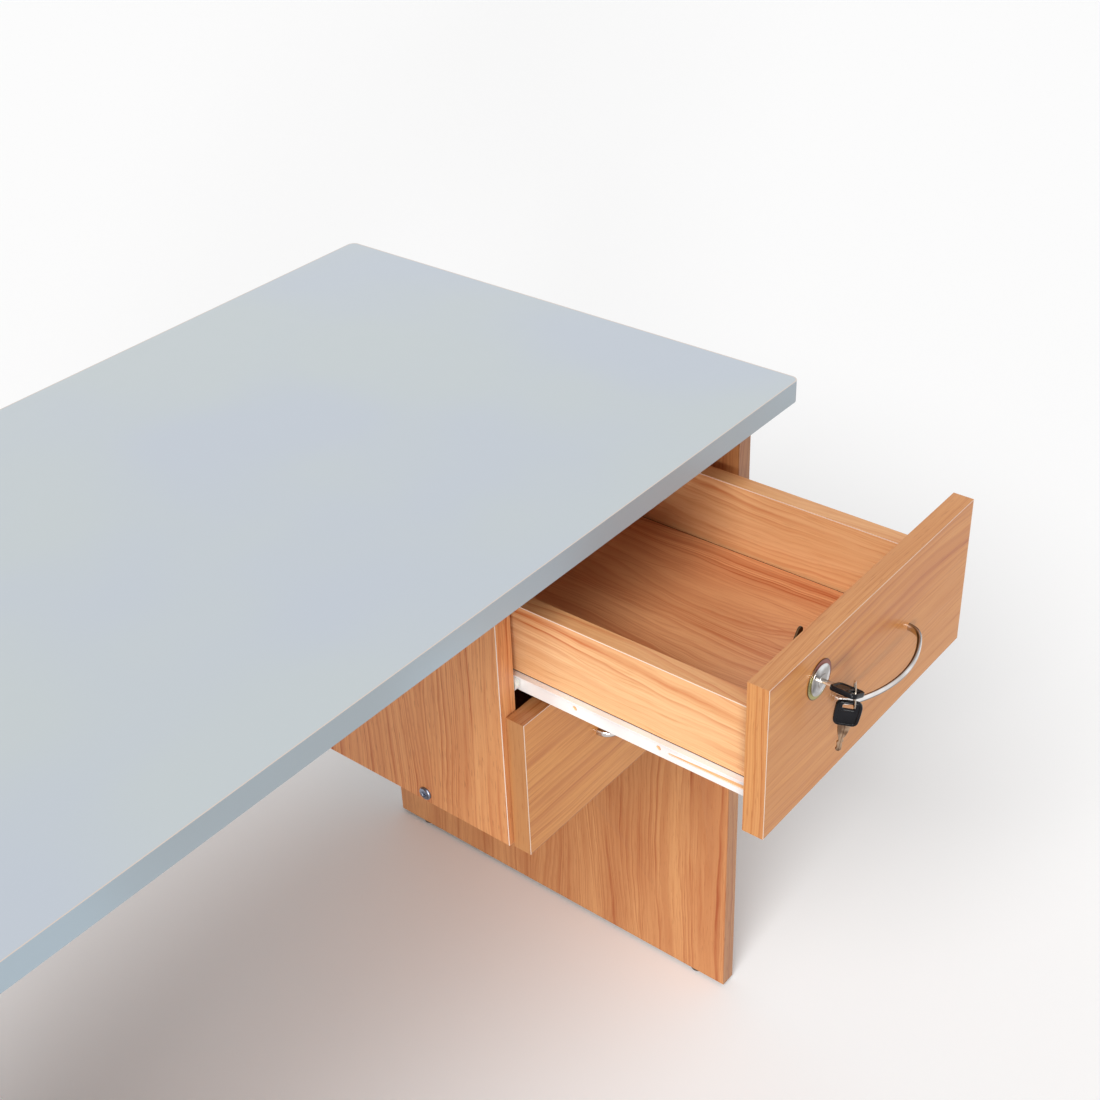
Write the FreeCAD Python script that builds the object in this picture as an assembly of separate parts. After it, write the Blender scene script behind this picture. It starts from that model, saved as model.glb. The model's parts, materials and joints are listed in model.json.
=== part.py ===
import FreeCAD, Part
import math
import os

# Study table: a worktop on two leg panels, with a two-drawer pedestal hung at its right end.
# Millimetres. X runs to the user's right, Y from the user to the back, Z up from the floor.
# While it is built, Y is zero at the worktop's front edge and X is zero at its middle.

# Worktop
top_width = 1200.0
top_thickness = 21.0
table_height = 750.0
top_corner_radius = 8.0
edge_band = 1.0

# Boards and carcass
board = 18.0
leg_side_overhang = 41.0
leg_front_overhang = 24.0
leg_back_overhang = 42.0
modesty_height = 330.0
modesty_inset = 20.0
pedestal_inner_width = 296.0
pedestal_height = 285.0

# Floor glides
glide_radius = 8.0
glide_height = 4.0
glide_end_distance = 40.0
glide_nail_radius = 1.2
glide_nail_length = 15.0

# Drawer fronts
front_recess = 3.0
front_thickness = 18.0
front_back_gap = 1.5
upper_front_height = 139.0
lower_front_height = 142.5
front_top_gap = 3.0
front_between_gap = 3.5
front_right_gap = 2.0
front_left_reveal = 4.5

# Drawer boxes
box_board = 16.0
room_behind_boxes = 31.0
box_side_height = 84.0
box_floor_gap = 1.5
upper_box_lift = 8.0
lower_box_lift = 6.0
upper_pull = 228.0

# Roller slides
slide_gap = 13.0
slide_length = 400.0
rail_steel = 1.2
rail_height = 17.6
rail_top_flange = 5.6
rail_bottom_flange = 11.0
rail_start = 1.0
rail_hole_radius = 2.3
rail_hole_height = 7.8
rail_hole_first = 92.7
rail_hole_pitch = 82.5
rail_hole_count = 4
slot_tip = 83.7
slot_near_end = 9.0
slot_height = 5.0
slot_tip_height = 2.2
slot_base = 5.5
channel_shelf_width = 10.5
channel_lip_width = 6.4
channel_side_gap = 0.3
channel_clear = 18.0
roller_radius = 7.4
roller_width = 6.0
roller_axis_height = 8.6
front_roller_offset = 5.0
rear_roller_offset = 3.6
roller_setback = 8.5
pin_radius = 2.0
pin_fit = 0.05
pin_head_radius = 3.2

# Small fasteners
screw_radius = 1.75
screw_head_radius = 3.3
screw_head = 1.3
screw_length = 14.0
cabinet_screw_near = 37.0
cabinet_screw_setback = 43.0
drawer_screw_near = 45.0
drawer_screw_setback = 35.0
dowel_radius = 4.0
dowel_length = 30.0
cam_radius = 7.5
cam_depth = 12.5
cam_distance = 34.0
cam_bolt_radius = 3.5
cam_bolt_grip = 11.0
cam_end_distance = 70.0
dowel_spacing = 32.0
connector_head_radius = 7.5
connector_head = 2.5
connector_dome = 1.0
connector_radius = 3.2
connector_length = 45.0
connector_setback = 97.0
hex_socket_width = 5.0
hex_socket_depth = 2.2
box_screw_radius = 2.5
box_screw_length = 45.0
box_screw_head_radius = 4.0
box_screw_head = 2.0
box_fixing_inset = 20.0

# Bow handles
handle_centres = 112.0
handle_depth = 26.0
handle_end_radius = 16.0
handle_rod_radius = 2.2
handle_foot_radius = 4.6
handle_foot_height = 8.0
handle_screw_radius = 2.0
handle_screw_bite = 6.0
handle_screw_head_radius = 4.0
handle_screw_head = 2.0

# Cam lock
lock_from_left = 69.0
lock_from_top = 33.0
lock_ring_radius = 16.5
lock_ring_thickness = 1.0
lock_dome_radius = 13.0
lock_dome_rim = 0.8
lock_dome_height = 1.8
lock_barrel_radius = 9.5
lock_barrel_beyond = 5.6
lock_nut_across = 25.0
lock_nut_thickness = 4.0
plug_radius = 5.6
plug_fit = 0.06
plug_proud = 0.2
plug_neck = 0.3
plug_square = 7.0
cam_plate = 2.0
cam_width = 14.0
cam_reach = 32.0
cam_boss_radius = 9.0
cam_screw_head_radius = 4.2
cam_screw_head = 2.4
cam_screw_radius = 1.6
cam_screw_length = 8.0
lock_turn = 25.0
strike_left = 9.0
strike_right = 4.0
strike_steel = 1.2
strike_drop = 7.0
strike_depth = 22.0
strike_setback = 0.6
strike_screw_shares = (0.4, 0.8)

# Keys and ring
key_thickness = 2.0
key_blade_width = 7.0
key_tip_width = 5.2
key_blade_length = 25.0
key_shoulder = 6.0
key_cut = 1.1
key_in_plug = 17.0
key_neck_gap = 8.4
key_cut_shares = (0.12, 0.28, 0.5, 0.72)
key_head_length = 22.0
key_head_width = 20.4
key_head_neck_width = 19.0
key_head_thickness = 4.0
key_head_corner = 4.2
key_head_bevel = 0.8
key_slot_width = 9.5
key_slot_height = 5.0
key_slot_bar = 2.3
key_slot_corner = 1.6
ring_radius = 10.0
ring_wire_radius = 0.65
ring_turn = 58.0
ring_lean = 39.0
ring_slot_gap = 0.85
spare_offset = 3.2
spare_tilt = 8.0
hang_gap = 0.3

# Cutters run past the faces that they open by this much
overrun = 2.0

# Places that follow from the sizes above
half_width = top_width / 2
underside = table_height - top_thickness
leg_base = glide_height
leg_outer = half_width - leg_side_overhang
leg_inner = leg_outer - board
pedestal_face = leg_inner - pedestal_inner_width
pedestal_outer = pedestal_face - board
pedestal_base = underside - pedestal_height
front_face = leg_front_overhang + front_recess
front_rear = front_face + front_thickness
carcass_front = front_rear + front_back_gap
box_length = slide_length
modesty_front = front_rear + box_length + room_behind_boxes
modesty_back = modesty_front + board
leg_back = modesty_back + modesty_inset
top_depth = leg_back + leg_back_overhang
front_left = pedestal_outer + front_left_reveal
front_right = leg_inner - front_right_gap
upper_front_top = underside - front_top_gap
upper_front_base = upper_front_top - upper_front_height
lower_front_top = upper_front_base - front_between_gap
lower_front_base = lower_front_top - lower_front_height
upper_box_base = upper_front_base + upper_box_lift
lower_box_base = pedestal_base + board + lower_box_lift
box_left = pedestal_face + slide_gap
box_right = leg_inner - slide_gap
lock_x = front_left + lock_from_left
lock_z = upper_front_top - lock_from_top

X_AXIS = FreeCAD.Vector(1, 0, 0)
Y_AXIS = FreeCAD.Vector(0, 1, 0)
Z_AXIS = FreeCAD.Vector(0, 0, 1)

pieces = {}


def point(x, y, z):
    return FreeCAD.Vector(x, y, z)


def block(low, high):
    """A box between two opposite corners."""
    size = high - low
    return Part.makeBox(size.x, size.y, size.z, low)


def rod(start, axis, radius, length):
    """A round bar from a point along an axis."""
    return Part.makeCylinder(radius, length, start, axis)


def group(solids):
    """Separate solids kept as one compound."""
    return Part.makeCompound(solids)


def rounded_slab(low, high, radius):
    """A flat slab whose four upright corners are rounded."""
    slab = block(low, high)
    upright = [edge for edge in slab.Edges if edge.BoundBox.ZLength > 0 and edge.BoundBox.XLength < radius
               and edge.BoundBox.YLength < radius]
    return slab.makeFillet(radius, upright)


def hexagon(centre, axis, across, length):
    """A hexagonal prism from a point along the Y axis or the X axis."""
    corner_radius = across / math.sqrt(3)
    corners = []
    for number in range(6):
        angle = number * math.pi / 3
        side = corner_radius * math.cos(angle)
        rise = corner_radius * math.sin(angle)
        if axis.y:
            corners.append(centre + point(side, 0, rise))
        else:
            corners.append(centre + point(0, side, rise))
    corners.append(corners[0])
    return Part.Face(Part.makePolygon(corners)).extrude(axis * length)


def add(name, shape):
    """Keep a sub-part under its name."""
    pieces[name] = shape


def cut_from(name, cutters):
    """Take cutters away from a kept sub-part."""
    pieces[name] = pieces[name].cut(cutters)


def make_worktop():
    """The laminated slab and the band round its edge."""
    low = point(-half_width, 0, underside)
    high = point(half_width, top_depth, table_height)
    inset = point(edge_band, edge_band, 0)
    whole = rounded_slab(low, high, top_corner_radius)
    core = rounded_slab(low + inset, high - inset, top_corner_radius - edge_band)
    add("tabletop", core)
    add("tabletop_edge_band", whole.cut(core))


def make_legs():
    """The two leg panels, each with its front edge left for a band."""
    for name, outer, inner in (("left_leg_panel", -leg_outer, -leg_inner),
                               ("right_leg_panel", leg_inner, leg_outer)):
        low = point(outer, leg_front_overhang + edge_band, leg_base)
        add(name, block(low, point(inner, leg_back, underside)))


def make_modesty_panel():
    """The upright board between the legs that also closes the pedestal's back."""
    low = point(-leg_inner, modesty_front, underside - modesty_height + edge_band)
    add("modesty_panel", block(low, point(leg_inner, modesty_back, underside)))


def make_pedestal():
    """The pedestal's side and bottom boards."""
    low = point(pedestal_outer, carcass_front + edge_band, pedestal_base)
    add("pedestal_side", block(low, point(pedestal_face, modesty_front, underside)))
    low = point(pedestal_face, carcass_front + edge_band, pedestal_base)
    add("pedestal_bottom", block(low, point(leg_inner, modesty_front, pedestal_base + board)))


def make_carcass_bands():
    """Thin bands on the front edges of the legs and pedestal and under the modesty panel."""
    bands = []
    for outer, inner in ((-leg_outer, -leg_inner), (leg_inner, leg_outer)):
        low = point(outer, leg_front_overhang, leg_base)
        bands.append(block(low, point(inner, leg_front_overhang + edge_band, underside)))
    rear = carcass_front + edge_band
    low = point(pedestal_outer, carcass_front, pedestal_base)
    bands.append(block(low, point(pedestal_face, rear, underside)))
    shelf_top = pedestal_base + board
    bands.append(block(point(pedestal_face, carcass_front, pedestal_base), point(leg_inner, rear, shelf_top)))
    base = underside - modesty_height
    low = point(-leg_inner, modesty_front, base)
    bands.append(block(low, point(leg_inner, modesty_back, base + edge_band)))
    add("carcass_edge_bands", group(bands))


def make_glides():
    """Four nail-on glides under the legs."""
    glides = []
    for x in (-leg_outer + board / 2, leg_outer - board / 2):
        for y in (leg_front_overhang + glide_end_distance, leg_back - glide_end_distance):
            foot = rod(point(x, y, 0), Z_AXIS, glide_radius, glide_height)
            nail = rod(point(x, y, glide_height), Z_AXIS, glide_nail_radius, glide_nail_length)
            glides.append(foot.fuse(nail))
    add("leg_glides", group(glides))
    for name in ("left_leg_panel", "right_leg_panel"):
        cut_from(name, glides)


def cam_joint(disc_centre, disc_axis, bolt_axis):
    """A cam disc let into a face and the bolt whose head it holds."""
    middle = disc_centre + disc_axis * (board / 2)
    head_depth = cam_radius / 2
    length = cam_distance - head_depth + cam_bolt_grip
    bolt = rod(middle + bolt_axis * head_depth, bolt_axis, cam_bolt_radius, length)
    disc = rod(disc_centre, disc_axis, cam_radius, cam_depth)
    return disc.cut(bolt), bolt


def make_panel_fittings():
    """Cam discs, their bolts and dowels that hold the boards together."""
    discs = []
    bolts = []
    dowels = []
    rows = (("left_leg_panel", -leg_inner, -X_AXIS, leg_front_overhang, leg_back),
            ("right_leg_panel", leg_inner, X_AXIS, leg_front_overhang, leg_back),
            ("pedestal_side", pedestal_face, -X_AXIS, carcass_front, modesty_front))
    for panel, face, inward, near, far in rows:
        middle = face + inward.x * board / 2
        for y, step in ((near + cam_end_distance, dowel_spacing), (far - cam_end_distance, -dowel_spacing)):
            disc, bolt = cam_joint(point(face, y, underside - cam_distance), inward, Z_AXIS)
            dowel = rod(point(middle, y + step, underside - dowel_length / 2 - cam_bolt_grip / 2),
                        Z_AXIS, dowel_radius, dowel_length)
            discs.append(disc)
            bolts.append(bolt)
            dowels.append(dowel)
            cut_from(panel, [disc, bolt, dowel])
            cut_from("tabletop", [bolt, dowel])
    for side in (-X_AXIS, X_AXIS):
        leg = "right_leg_panel" if side.x > 0 else "left_leg_panel"
        for z in (underside - cam_end_distance, underside - modesty_height + cam_end_distance):
            start = point(side.x * (leg_inner - cam_distance), modesty_back, z)
            disc, bolt = cam_joint(start, -Y_AXIS, side)
            discs.append(disc)
            bolts.append(bolt)
            cut_from("modesty_panel", [disc, bolt])
            cut_from(leg, [bolt])
    for y in (carcass_front + connector_setback, modesty_front - connector_setback):
        start = point(leg_inner - cam_distance, y, pedestal_base)
        disc, bolt = cam_joint(start, Z_AXIS, X_AXIS)
        discs.append(disc)
        bolts.append(bolt)
        cut_from("pedestal_bottom", [disc, bolt])
        cut_from("right_leg_panel", [bolt])
    add("cam_discs", group(discs))
    add("cam_bolts", group(bolts))
    add("panel_dowels", group(dowels))


def make_connector_bolts():
    """Two bolts through the pedestal side into the end of its bottom board."""
    bolts = []
    z = pedestal_base + board / 2
    for y in (carcass_front + connector_setback, modesty_front - connector_setback):
        head_start = point(pedestal_outer - connector_head, y, z)
        head = rod(head_start, X_AXIS, connector_head_radius, connector_head)
        rim = [edge for edge in head.Edges if edge.BoundBox.XMax < pedestal_outer - connector_head / 2
               and edge.BoundBox.XLength < connector_head / 2]
        head = head.makeFillet(connector_dome, rim)
        head = head.cut(hexagon(head_start - X_AXIS * overrun, X_AXIS, hex_socket_width,
                                overrun + hex_socket_depth))
        shank = rod(point(pedestal_outer, y, z), X_AXIS, connector_radius, connector_length)
        bolts.append(head.fuse(shank))
        cut_from("pedestal_side", [shank])
        cut_from("pedestal_bottom", [shank])
    add("pedestal_connector_bolts", group(bolts))


def mirror_in_pedestal(shape):
    """The same shape on the pedestal's other side."""
    middle = point((pedestal_face + leg_inner) / 2, 0, 0)
    return shape.mirror(middle, X_AXIS)


def roller(x, y, z):
    """A plastic roller with a hole that runs on its pin."""
    wheel = rod(point(x, y, z), X_AXIS, roller_radius, roller_width)
    return wheel.cut(rod(point(x - overrun, y, z), X_AXIS, pin_radius + pin_fit, roller_width + 2 * overrun))


def cabinet_rail(rail_base):
    """The left cabinet rail: a channel with a bare front end that carries the front roller's pin."""
    near = carcass_front + rail_start
    far = near + slide_length
    web_face = pedestal_face + rail_steel
    low = rail_base + roller_axis_height - roller_radius - channel_side_gap
    high = rail_base + roller_axis_height + roller_radius + channel_side_gap
    web = block(point(pedestal_face, near, low - rail_steel), point(web_face, far, high + rail_steel))
    shelf = block(point(pedestal_face, near + channel_clear, low - rail_steel),
                  point(pedestal_face + channel_shelf_width, far, low))
    lip = block(point(pedestal_face, near + channel_clear, high),
                point(pedestal_face + channel_lip_width, far, high + rail_steel))
    pin_y = near + roller_setback
    pin_z = rail_base + roller_axis_height
    pin_end = pedestal_face + front_roller_offset + roller_width
    pin = rod(point(web_face, pin_y, pin_z), X_AXIS, pin_radius, pin_end - web_face)
    collar_length = front_roller_offset - rail_steel - channel_side_gap
    collar = rod(point(web_face, pin_y, pin_z), X_AXIS, pin_head_radius, collar_length)
    return web.fuse([shelf, lip, pin, collar]).removeSplitter()


def front_roller(rail_base):
    """The roller on the cabinet rail's front end, under the drawer rail's upper flange."""
    y = carcass_front + rail_start + roller_setback
    return roller(pedestal_face + front_roller_offset, y, rail_base + roller_axis_height)


def drawer_rail(rail_base, shift):
    """The left drawer rail: a web on the drawer's side with a flange under it and a flange that rolls."""
    near = front_rear + rail_start + shift
    far = near + slide_length
    web_outer = box_left - rail_steel
    top = rail_base + rail_height
    web = block(point(web_outer, near, rail_base), point(box_left, far, top))
    foot = block(point(web_outer, near, rail_base),
                 point(box_left + rail_bottom_flange, far, rail_base + rail_steel))
    flange = block(point(box_left - rail_top_flange, near, top - rail_steel), point(box_left, far, top))
    cutters = []
    for number in range(rail_hole_count):
        y = near + rail_hole_first + rail_hole_pitch * number
        centre = point(web_outer - overrun, y, rail_base + rail_hole_height)
        cutters.append(rod(centre, X_AXIS, rail_hole_radius, rail_steel + overrun))
    tip = point(web_outer - overrun, near + slot_tip, rail_base + slot_base)
    foot_corner = point(tip.x, near + slot_near_end, tip.z)
    top_corner = foot_corner + Z_AXIS * slot_height
    outline = Part.makePolygon([tip, foot_corner, top_corner, tip + Z_AXIS * slot_tip_height, tip])
    cutters.append(Part.Face(outline).extrude(X_AXIS * (rail_steel + overrun)))
    body = web.cut(cutters).fuse([foot, flange])
    pin_y = far - roller_setback
    pin_z = rail_base + roller_axis_height
    pin_start = pedestal_face + rear_roller_offset
    pin = rod(point(pin_start, pin_y, pin_z), X_AXIS, pin_radius, web_outer - pin_start)
    collar_start = pin_start + roller_width + channel_side_gap
    collar = rod(point(collar_start, pin_y, pin_z), X_AXIS, pin_head_radius, web_outer - collar_start)
    return body.fuse([pin, collar]).removeSplitter()


def rear_roller(rail_base, shift):
    """The roller on the drawer rail's rear end, inside the cabinet rail's channel."""
    y = front_rear + rail_start + shift + slide_length - roller_setback
    return roller(pedestal_face + rear_roller_offset, y, rail_base + roller_axis_height)


def wood_screw(start, axis):
    """A panhead wood screw whose head's underside lies at the start point."""
    head = rod(start - axis * screw_head, axis, screw_head_radius, screw_head)
    return head.fuse(rod(start, axis, screw_radius, screw_length))


def screw_places(near, setback):
    """Distances along a slide: near its front end, halfway, and short of its rear end."""
    far = slide_length - setback
    return (near, (near + far) / 2, far)


def make_cabinet_side_of_slides():
    """Cabinet rails, front rollers and the screws that hold the rails."""
    screws = []
    for level, box_base in (("upper", upper_box_base), ("lower", lower_box_base)):
        rail_base = box_base - rail_steel
        left = cabinet_rail(rail_base)
        level_screws = []
        for place in screw_places(cabinet_screw_near, cabinet_screw_setback):
            start = point(pedestal_face + rail_steel, carcass_front + rail_start + place,
                          rail_base + roller_axis_height)
            level_screws.append(wood_screw(start, -X_AXIS))
        right_screws = [mirror_in_pedestal(screw) for screw in level_screws]
        left = left.cut(level_screws)
        add(level + "_cabinet_rail_left", left)
        add(level + "_cabinet_rail_right", mirror_in_pedestal(left))
        cut_from("pedestal_side", level_screws)
        cut_from("right_leg_panel", right_screws)
        screws += level_screws + right_screws
        wheel = front_roller(rail_base)
        add(level + "_front_rollers", group([wheel, mirror_in_pedestal(wheel)]))
    return screws


def front_board(base, top, shift):
    """A drawer front and the band round its four edges."""
    low = point(front_left, front_face + shift, base)
    high = point(front_right, front_rear + shift, top)
    inset = point(edge_band, 0, edge_band)
    core = block(low + inset, high - inset)
    return core, block(low, high).cut(core)


def bow_handle(middle):
    """A three-centred bow of round bar with flared feet, its feet on the face at the given middle."""
    half_span = handle_centres / 2
    offset = half_span - handle_end_radius
    squares = offset ** 2 + handle_depth ** 2 - handle_end_radius ** 2
    main_radius = squares / (2 * (handle_depth - handle_end_radius))
    drop = main_radius - handle_depth
    turn = math.atan2(drop, offset)

    def on_end_arc(angle):
        return point(offset + handle_end_radius * math.cos(angle), -handle_end_radius * math.sin(angle), 0)

    joint = on_end_arc(turn)
    bulge = on_end_arc(turn / 2)

    def mirrored(place):
        return point(-place.x, place.y, place.z)

    crown = point(0, -handle_depth, 0)
    foot = point(half_span, 0, 0)
    arcs = [Part.Arc(mirrored(foot), mirrored(bulge), mirrored(joint)).toShape(),
            Part.Arc(mirrored(joint), crown, joint).toShape(),
            Part.Arc(joint, bulge, foot).toShape()]
    path = Part.Wire(arcs)
    ring = Part.Wire([Part.Circle(mirrored(foot), Y_AXIS, handle_rod_radius).toShape()])
    bow = path.makePipeShell([ring], True, False)
    feet = []
    for side in (mirrored(foot), foot):
        feet.append(Part.makeCone(handle_foot_radius, handle_rod_radius, handle_foot_height, side, -Y_AXIS))
    bow = bow.fuse(feet)
    bow.translate(middle)
    return bow


def handle_screws(middle):
    """Two machine screws from behind the front into the handle's feet."""
    screws = []
    for side in (-1, 1):
        foot = middle + X_AXIS * (side * handle_centres / 2)
        behind = foot + Y_AXIS * front_thickness
        length = front_thickness + handle_screw_bite
        shank = rod(behind, -Y_AXIS, handle_screw_radius, length)
        head = rod(behind, Y_AXIS, handle_screw_head_radius, handle_screw_head)
        screws.append(shank.fuse(head))
    return screws


def make_drawer(level, front_base, front_top, box_base, shift):
    """One drawer: front, box, rails, rear rollers, handle and fasteners."""
    core, band = front_board(front_base, front_top, shift)
    near = front_rear + shift
    far = near + box_length
    box_top = box_base + box_side_height
    left = block(point(box_left, near, box_base), point(box_left + box_board, far, box_top))
    right = block(point(box_right - box_board, near, box_base), point(box_right, far, box_top))
    inner_left = box_left + box_board
    inner_right = box_right - box_board
    back = block(point(inner_left, far - box_board, box_base), point(inner_right, far, box_top))
    floor = block(point(inner_left, near, box_base),
                  point(inner_right - box_floor_gap, far - box_board, box_base + box_board))
    dowels = []
    screws = []
    for x in (box_left + box_board / 2, box_right - box_board / 2):
        for z in (box_base + box_fixing_inset, box_top - box_fixing_inset):
            dowels.append(rod(point(x, near - dowel_length / 2, z), Y_AXIS, dowel_radius, dowel_length))
    for x, inward in ((box_left, X_AXIS), (box_right, -X_AXIS)):
        for z in (box_base + box_fixing_inset, box_top - box_fixing_inset):
            start = point(x, far - box_board / 2, z)
            head = rod(start, inward, box_screw_head_radius, box_screw_head)
            screws.append(head.fuse(rod(start, inward, box_screw_radius, box_screw_length)))
    handle_middle = point((front_left + front_right) / 2, front_face + shift, (front_base + front_top) / 2)
    fixings = handle_screws(handle_middle)
    rail_base = box_base - rail_steel
    rail = drawer_rail(rail_base, shift)
    rail_screws = []
    for place in screw_places(drawer_screw_near, drawer_screw_setback):
        start = point(box_left + rail_bottom_flange / 2, near + rail_start + place, rail_base)
        rail_screws.append(wood_screw(start, Z_AXIS))
    right_rail_screws = [mirror_in_pedestal(screw) for screw in rail_screws]
    rail = rail.cut(rail_screws)
    add(level + "_drawer_front", core.cut(dowels + fixings))
    add(level + "_front_edge_band", band)
    add(level + "_drawer_left_side", left.cut(dowels + screws + rail_screws))
    add(level + "_drawer_right_side", right.cut(dowels + screws + right_rail_screws))
    add(level + "_drawer_back", back.cut(screws))
    add(level + "_drawer_floor", floor)
    add(level + "_box_dowels", group(dowels))
    add(level + "_box_screws", group(screws))
    add(level + "_drawer_rail_left", rail)
    add(level + "_drawer_rail_right", mirror_in_pedestal(rail))
    add(level + "_drawer_rail_screws", group(rail_screws + right_rail_screws))
    wheel = rear_roller(rail_base, shift)
    add(level + "_rear_rollers", group([wheel, mirror_in_pedestal(wheel)]))
    add(level + "_handle", bow_handle(handle_middle).cut(fixings))
    add(level + "_handle_screws", group(fixings))


def turned(shape):
    """A lock part turned from upright to the rest position about the lock's axis."""
    return shape.rotated(point(lock_x, 0, lock_z), Y_AXIS, lock_turn)


def make_lock(shift):
    """Lock body, ring, nut, plug, cam and cam screw in the upper front."""
    face = front_face + shift
    rear = front_rear + shift
    centre = point(lock_x, 0, lock_z)

    def at(y):
        return centre + Y_AXIS * y

    ring = Part.makeCone(lock_ring_radius, lock_dome_radius + lock_ring_thickness / 2, lock_ring_thickness,
                         at(face), -Y_AXIS)
    barrel_end = rear + lock_barrel_beyond
    dome_base = face - lock_ring_thickness
    rim = rod(at(dome_base), -Y_AXIS, lock_dome_radius, lock_dome_rim)
    sphere_radius = (lock_dome_radius ** 2 + lock_dome_height ** 2) / (2 * lock_dome_height)
    cap_centre = dome_base - lock_dome_rim - lock_dome_height + sphere_radius
    ball = Part.makeSphere(sphere_radius, at(cap_centre))
    slice_tool = rod(at(dome_base - lock_dome_rim), -Y_AXIS, lock_dome_radius, 2 * lock_dome_height)
    dome = ball.common(slice_tool)
    barrel = rod(at(dome_base), Y_AXIS, lock_barrel_radius, barrel_end - dome_base)
    plug_face = dome_base - lock_dome_rim - lock_dome_height - plug_proud
    bore = rod(at(plug_face - overrun), Y_AXIS, plug_radius + plug_fit, barrel_end - plug_face + 2 * overrun)
    add("lock_body", rim.fuse([dome, barrel]).removeSplitter().cut(bore))
    barrel_hole = rod(at(plug_face), Y_AXIS, lock_barrel_radius, barrel_end - plug_face)
    add("lock_ring", ring.cut(barrel_hole))
    nut = hexagon(at(rear), Y_AXIS, lock_nut_across, lock_nut_thickness)
    add("lock_nut", nut.cut(barrel_hole))
    cut_from("upper_drawer_front", [barrel_hole])

    cam_start = barrel_end + plug_neck
    cam_end = cam_start + cam_plate
    half_square = plug_square / 2
    plug = rod(at(plug_face), Y_AXIS, plug_radius, cam_start - plug_face)
    tail = block(point(lock_x - half_square, cam_start, lock_z - half_square),
                 point(lock_x + half_square, cam_end, lock_z + half_square))
    keyway = block(point(lock_x - key_blade_width / 2, plug_face - overrun, lock_z - key_thickness / 2),
                   point(lock_x + key_blade_width / 2, plug_face + key_in_plug, lock_z + key_thickness / 2))
    screw_start = at(cam_end)
    cam_screw = rod(screw_start, Y_AXIS, cam_screw_head_radius, cam_screw_head)
    cam_screw = cam_screw.fuse(rod(screw_start, -Y_AXIS, cam_screw_radius, cam_screw_length))
    plug = plug.fuse(tail).cut([keyway, cam_screw])
    blade = block(point(lock_x - cam_width / 2, cam_start, lock_z), point(lock_x + cam_width / 2, cam_end,
                                                                          lock_z + cam_reach))
    cam = blade.fuse(rod(at(cam_start), Y_AXIS, cam_boss_radius, cam_plate)).removeSplitter().cut(tail)
    add("lock_plug", turned(plug))
    add("lock_cam", turned(cam))
    add("cam_screw", turned(cam_screw))
    return plug_face


def make_strike():
    """An angle under the worktop whose lip the cam turns up behind."""
    near = carcass_front + strike_setback
    low = point(lock_x - strike_left, near, underside - strike_drop)
    lip = block(low, point(lock_x + strike_right, near + strike_steel, underside))
    plate = block(point(low.x, near, underside - strike_steel),
                  point(lock_x + strike_right, near + strike_depth, underside))
    middle = point(lock_x + (strike_right - strike_left) / 2, 0, underside - strike_steel)
    screws = []
    for share in strike_screw_shares:
        screws.append(wood_screw(middle + Y_AXIS * (near + strike_depth * share), Z_AXIS))
    add("lock_strike", lip.fuse(plate).removeSplitter().cut(screws))
    cut_from("tabletop", screws)
    return screws


def key_head_solid():
    """A key's moulded head, lying in XZ with its neck at the origin and its length along +Z."""
    half_neck = key_head_neck_width / 2
    half_width_of_head = key_head_width / 2
    half_thick = key_head_thickness / 2
    corners = [point(-half_neck, -half_thick, 0), point(half_neck, -half_thick, 0),
               point(half_width_of_head, -half_thick, key_head_length),
               point(-half_width_of_head, -half_thick, key_head_length)]
    corners.append(corners[0])
    head = Part.Face(Part.makePolygon(corners)).extrude(Y_AXIS * key_head_thickness)
    upright = [edge for edge in head.Edges if edge.BoundBox.YLength > half_thick]
    head = head.makeFillet(key_head_corner, upright)
    rims = [edge for edge in head.Edges if edge.BoundBox.YLength < half_thick]
    head = head.makeChamfer(key_head_bevel, rims)
    slot_top = key_head_length - key_slot_bar
    slot = block(point(-key_slot_width / 2, -half_thick - overrun, slot_top - key_slot_height),
                 point(key_slot_width / 2, half_thick + overrun, slot_top))
    upright = [edge for edge in slot.Edges if edge.BoundBox.YLength > half_thick]
    return head.cut(slot.makeFillet(key_slot_corner, upright))


def key_blade_solid(length):
    """A key's flat blade below its head, in XZ, running from the head's neck down to -Z."""
    half_thick = key_thickness / 2
    half_blade = key_blade_width / 2
    half_tip = key_tip_width / 2
    shoulder_share, first_share, second_share, third_share = key_cut_shares
    outline = [(-half_blade, key_shoulder), (half_blade, key_shoulder),
               (half_blade, -length * shoulder_share), (half_tip, -length * first_share),
               (half_tip - key_cut, -length * second_share), (half_tip, -length * third_share),
               (half_tip - key_cut, -length), (-half_tip + key_cut, -length),
               (-half_tip, -length * third_share), (-half_tip, -length * first_share),
               (-half_blade, -length * shoulder_share)]
    corners = [point(x, -half_thick, z) for x, z in outline]
    corners.append(corners[0])
    return Part.Face(Part.makePolygon(corners)).extrude(Y_AXIS * key_thickness)


def make_key_in_lock(plug_face):
    """The key that stands in the plug: blade, head and where the ring passes its head."""
    neck_y = plug_face - key_neck_gap
    head = key_head_solid()
    blade_length = key_in_plug + key_neck_gap
    half_thick = key_thickness / 2
    blade = block(point(-key_blade_width / 2, -half_thick, -blade_length),
                  point(key_blade_width / 2, half_thick, key_shoulder))
    place = FreeCAD.Placement(point(lock_x, neck_y, lock_z), FreeCAD.Rotation(X_AXIS, 90))
    head.Placement = place
    blade.Placement = place
    add("lock_key_head", turned(head.cut(blade)))
    add("lock_key_blade", turned(blade))
    ring_place = key_head_length - key_slot_bar - ring_wire_radius - ring_slot_gap
    return point(lock_x, neck_y - ring_place, lock_z)


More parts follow.
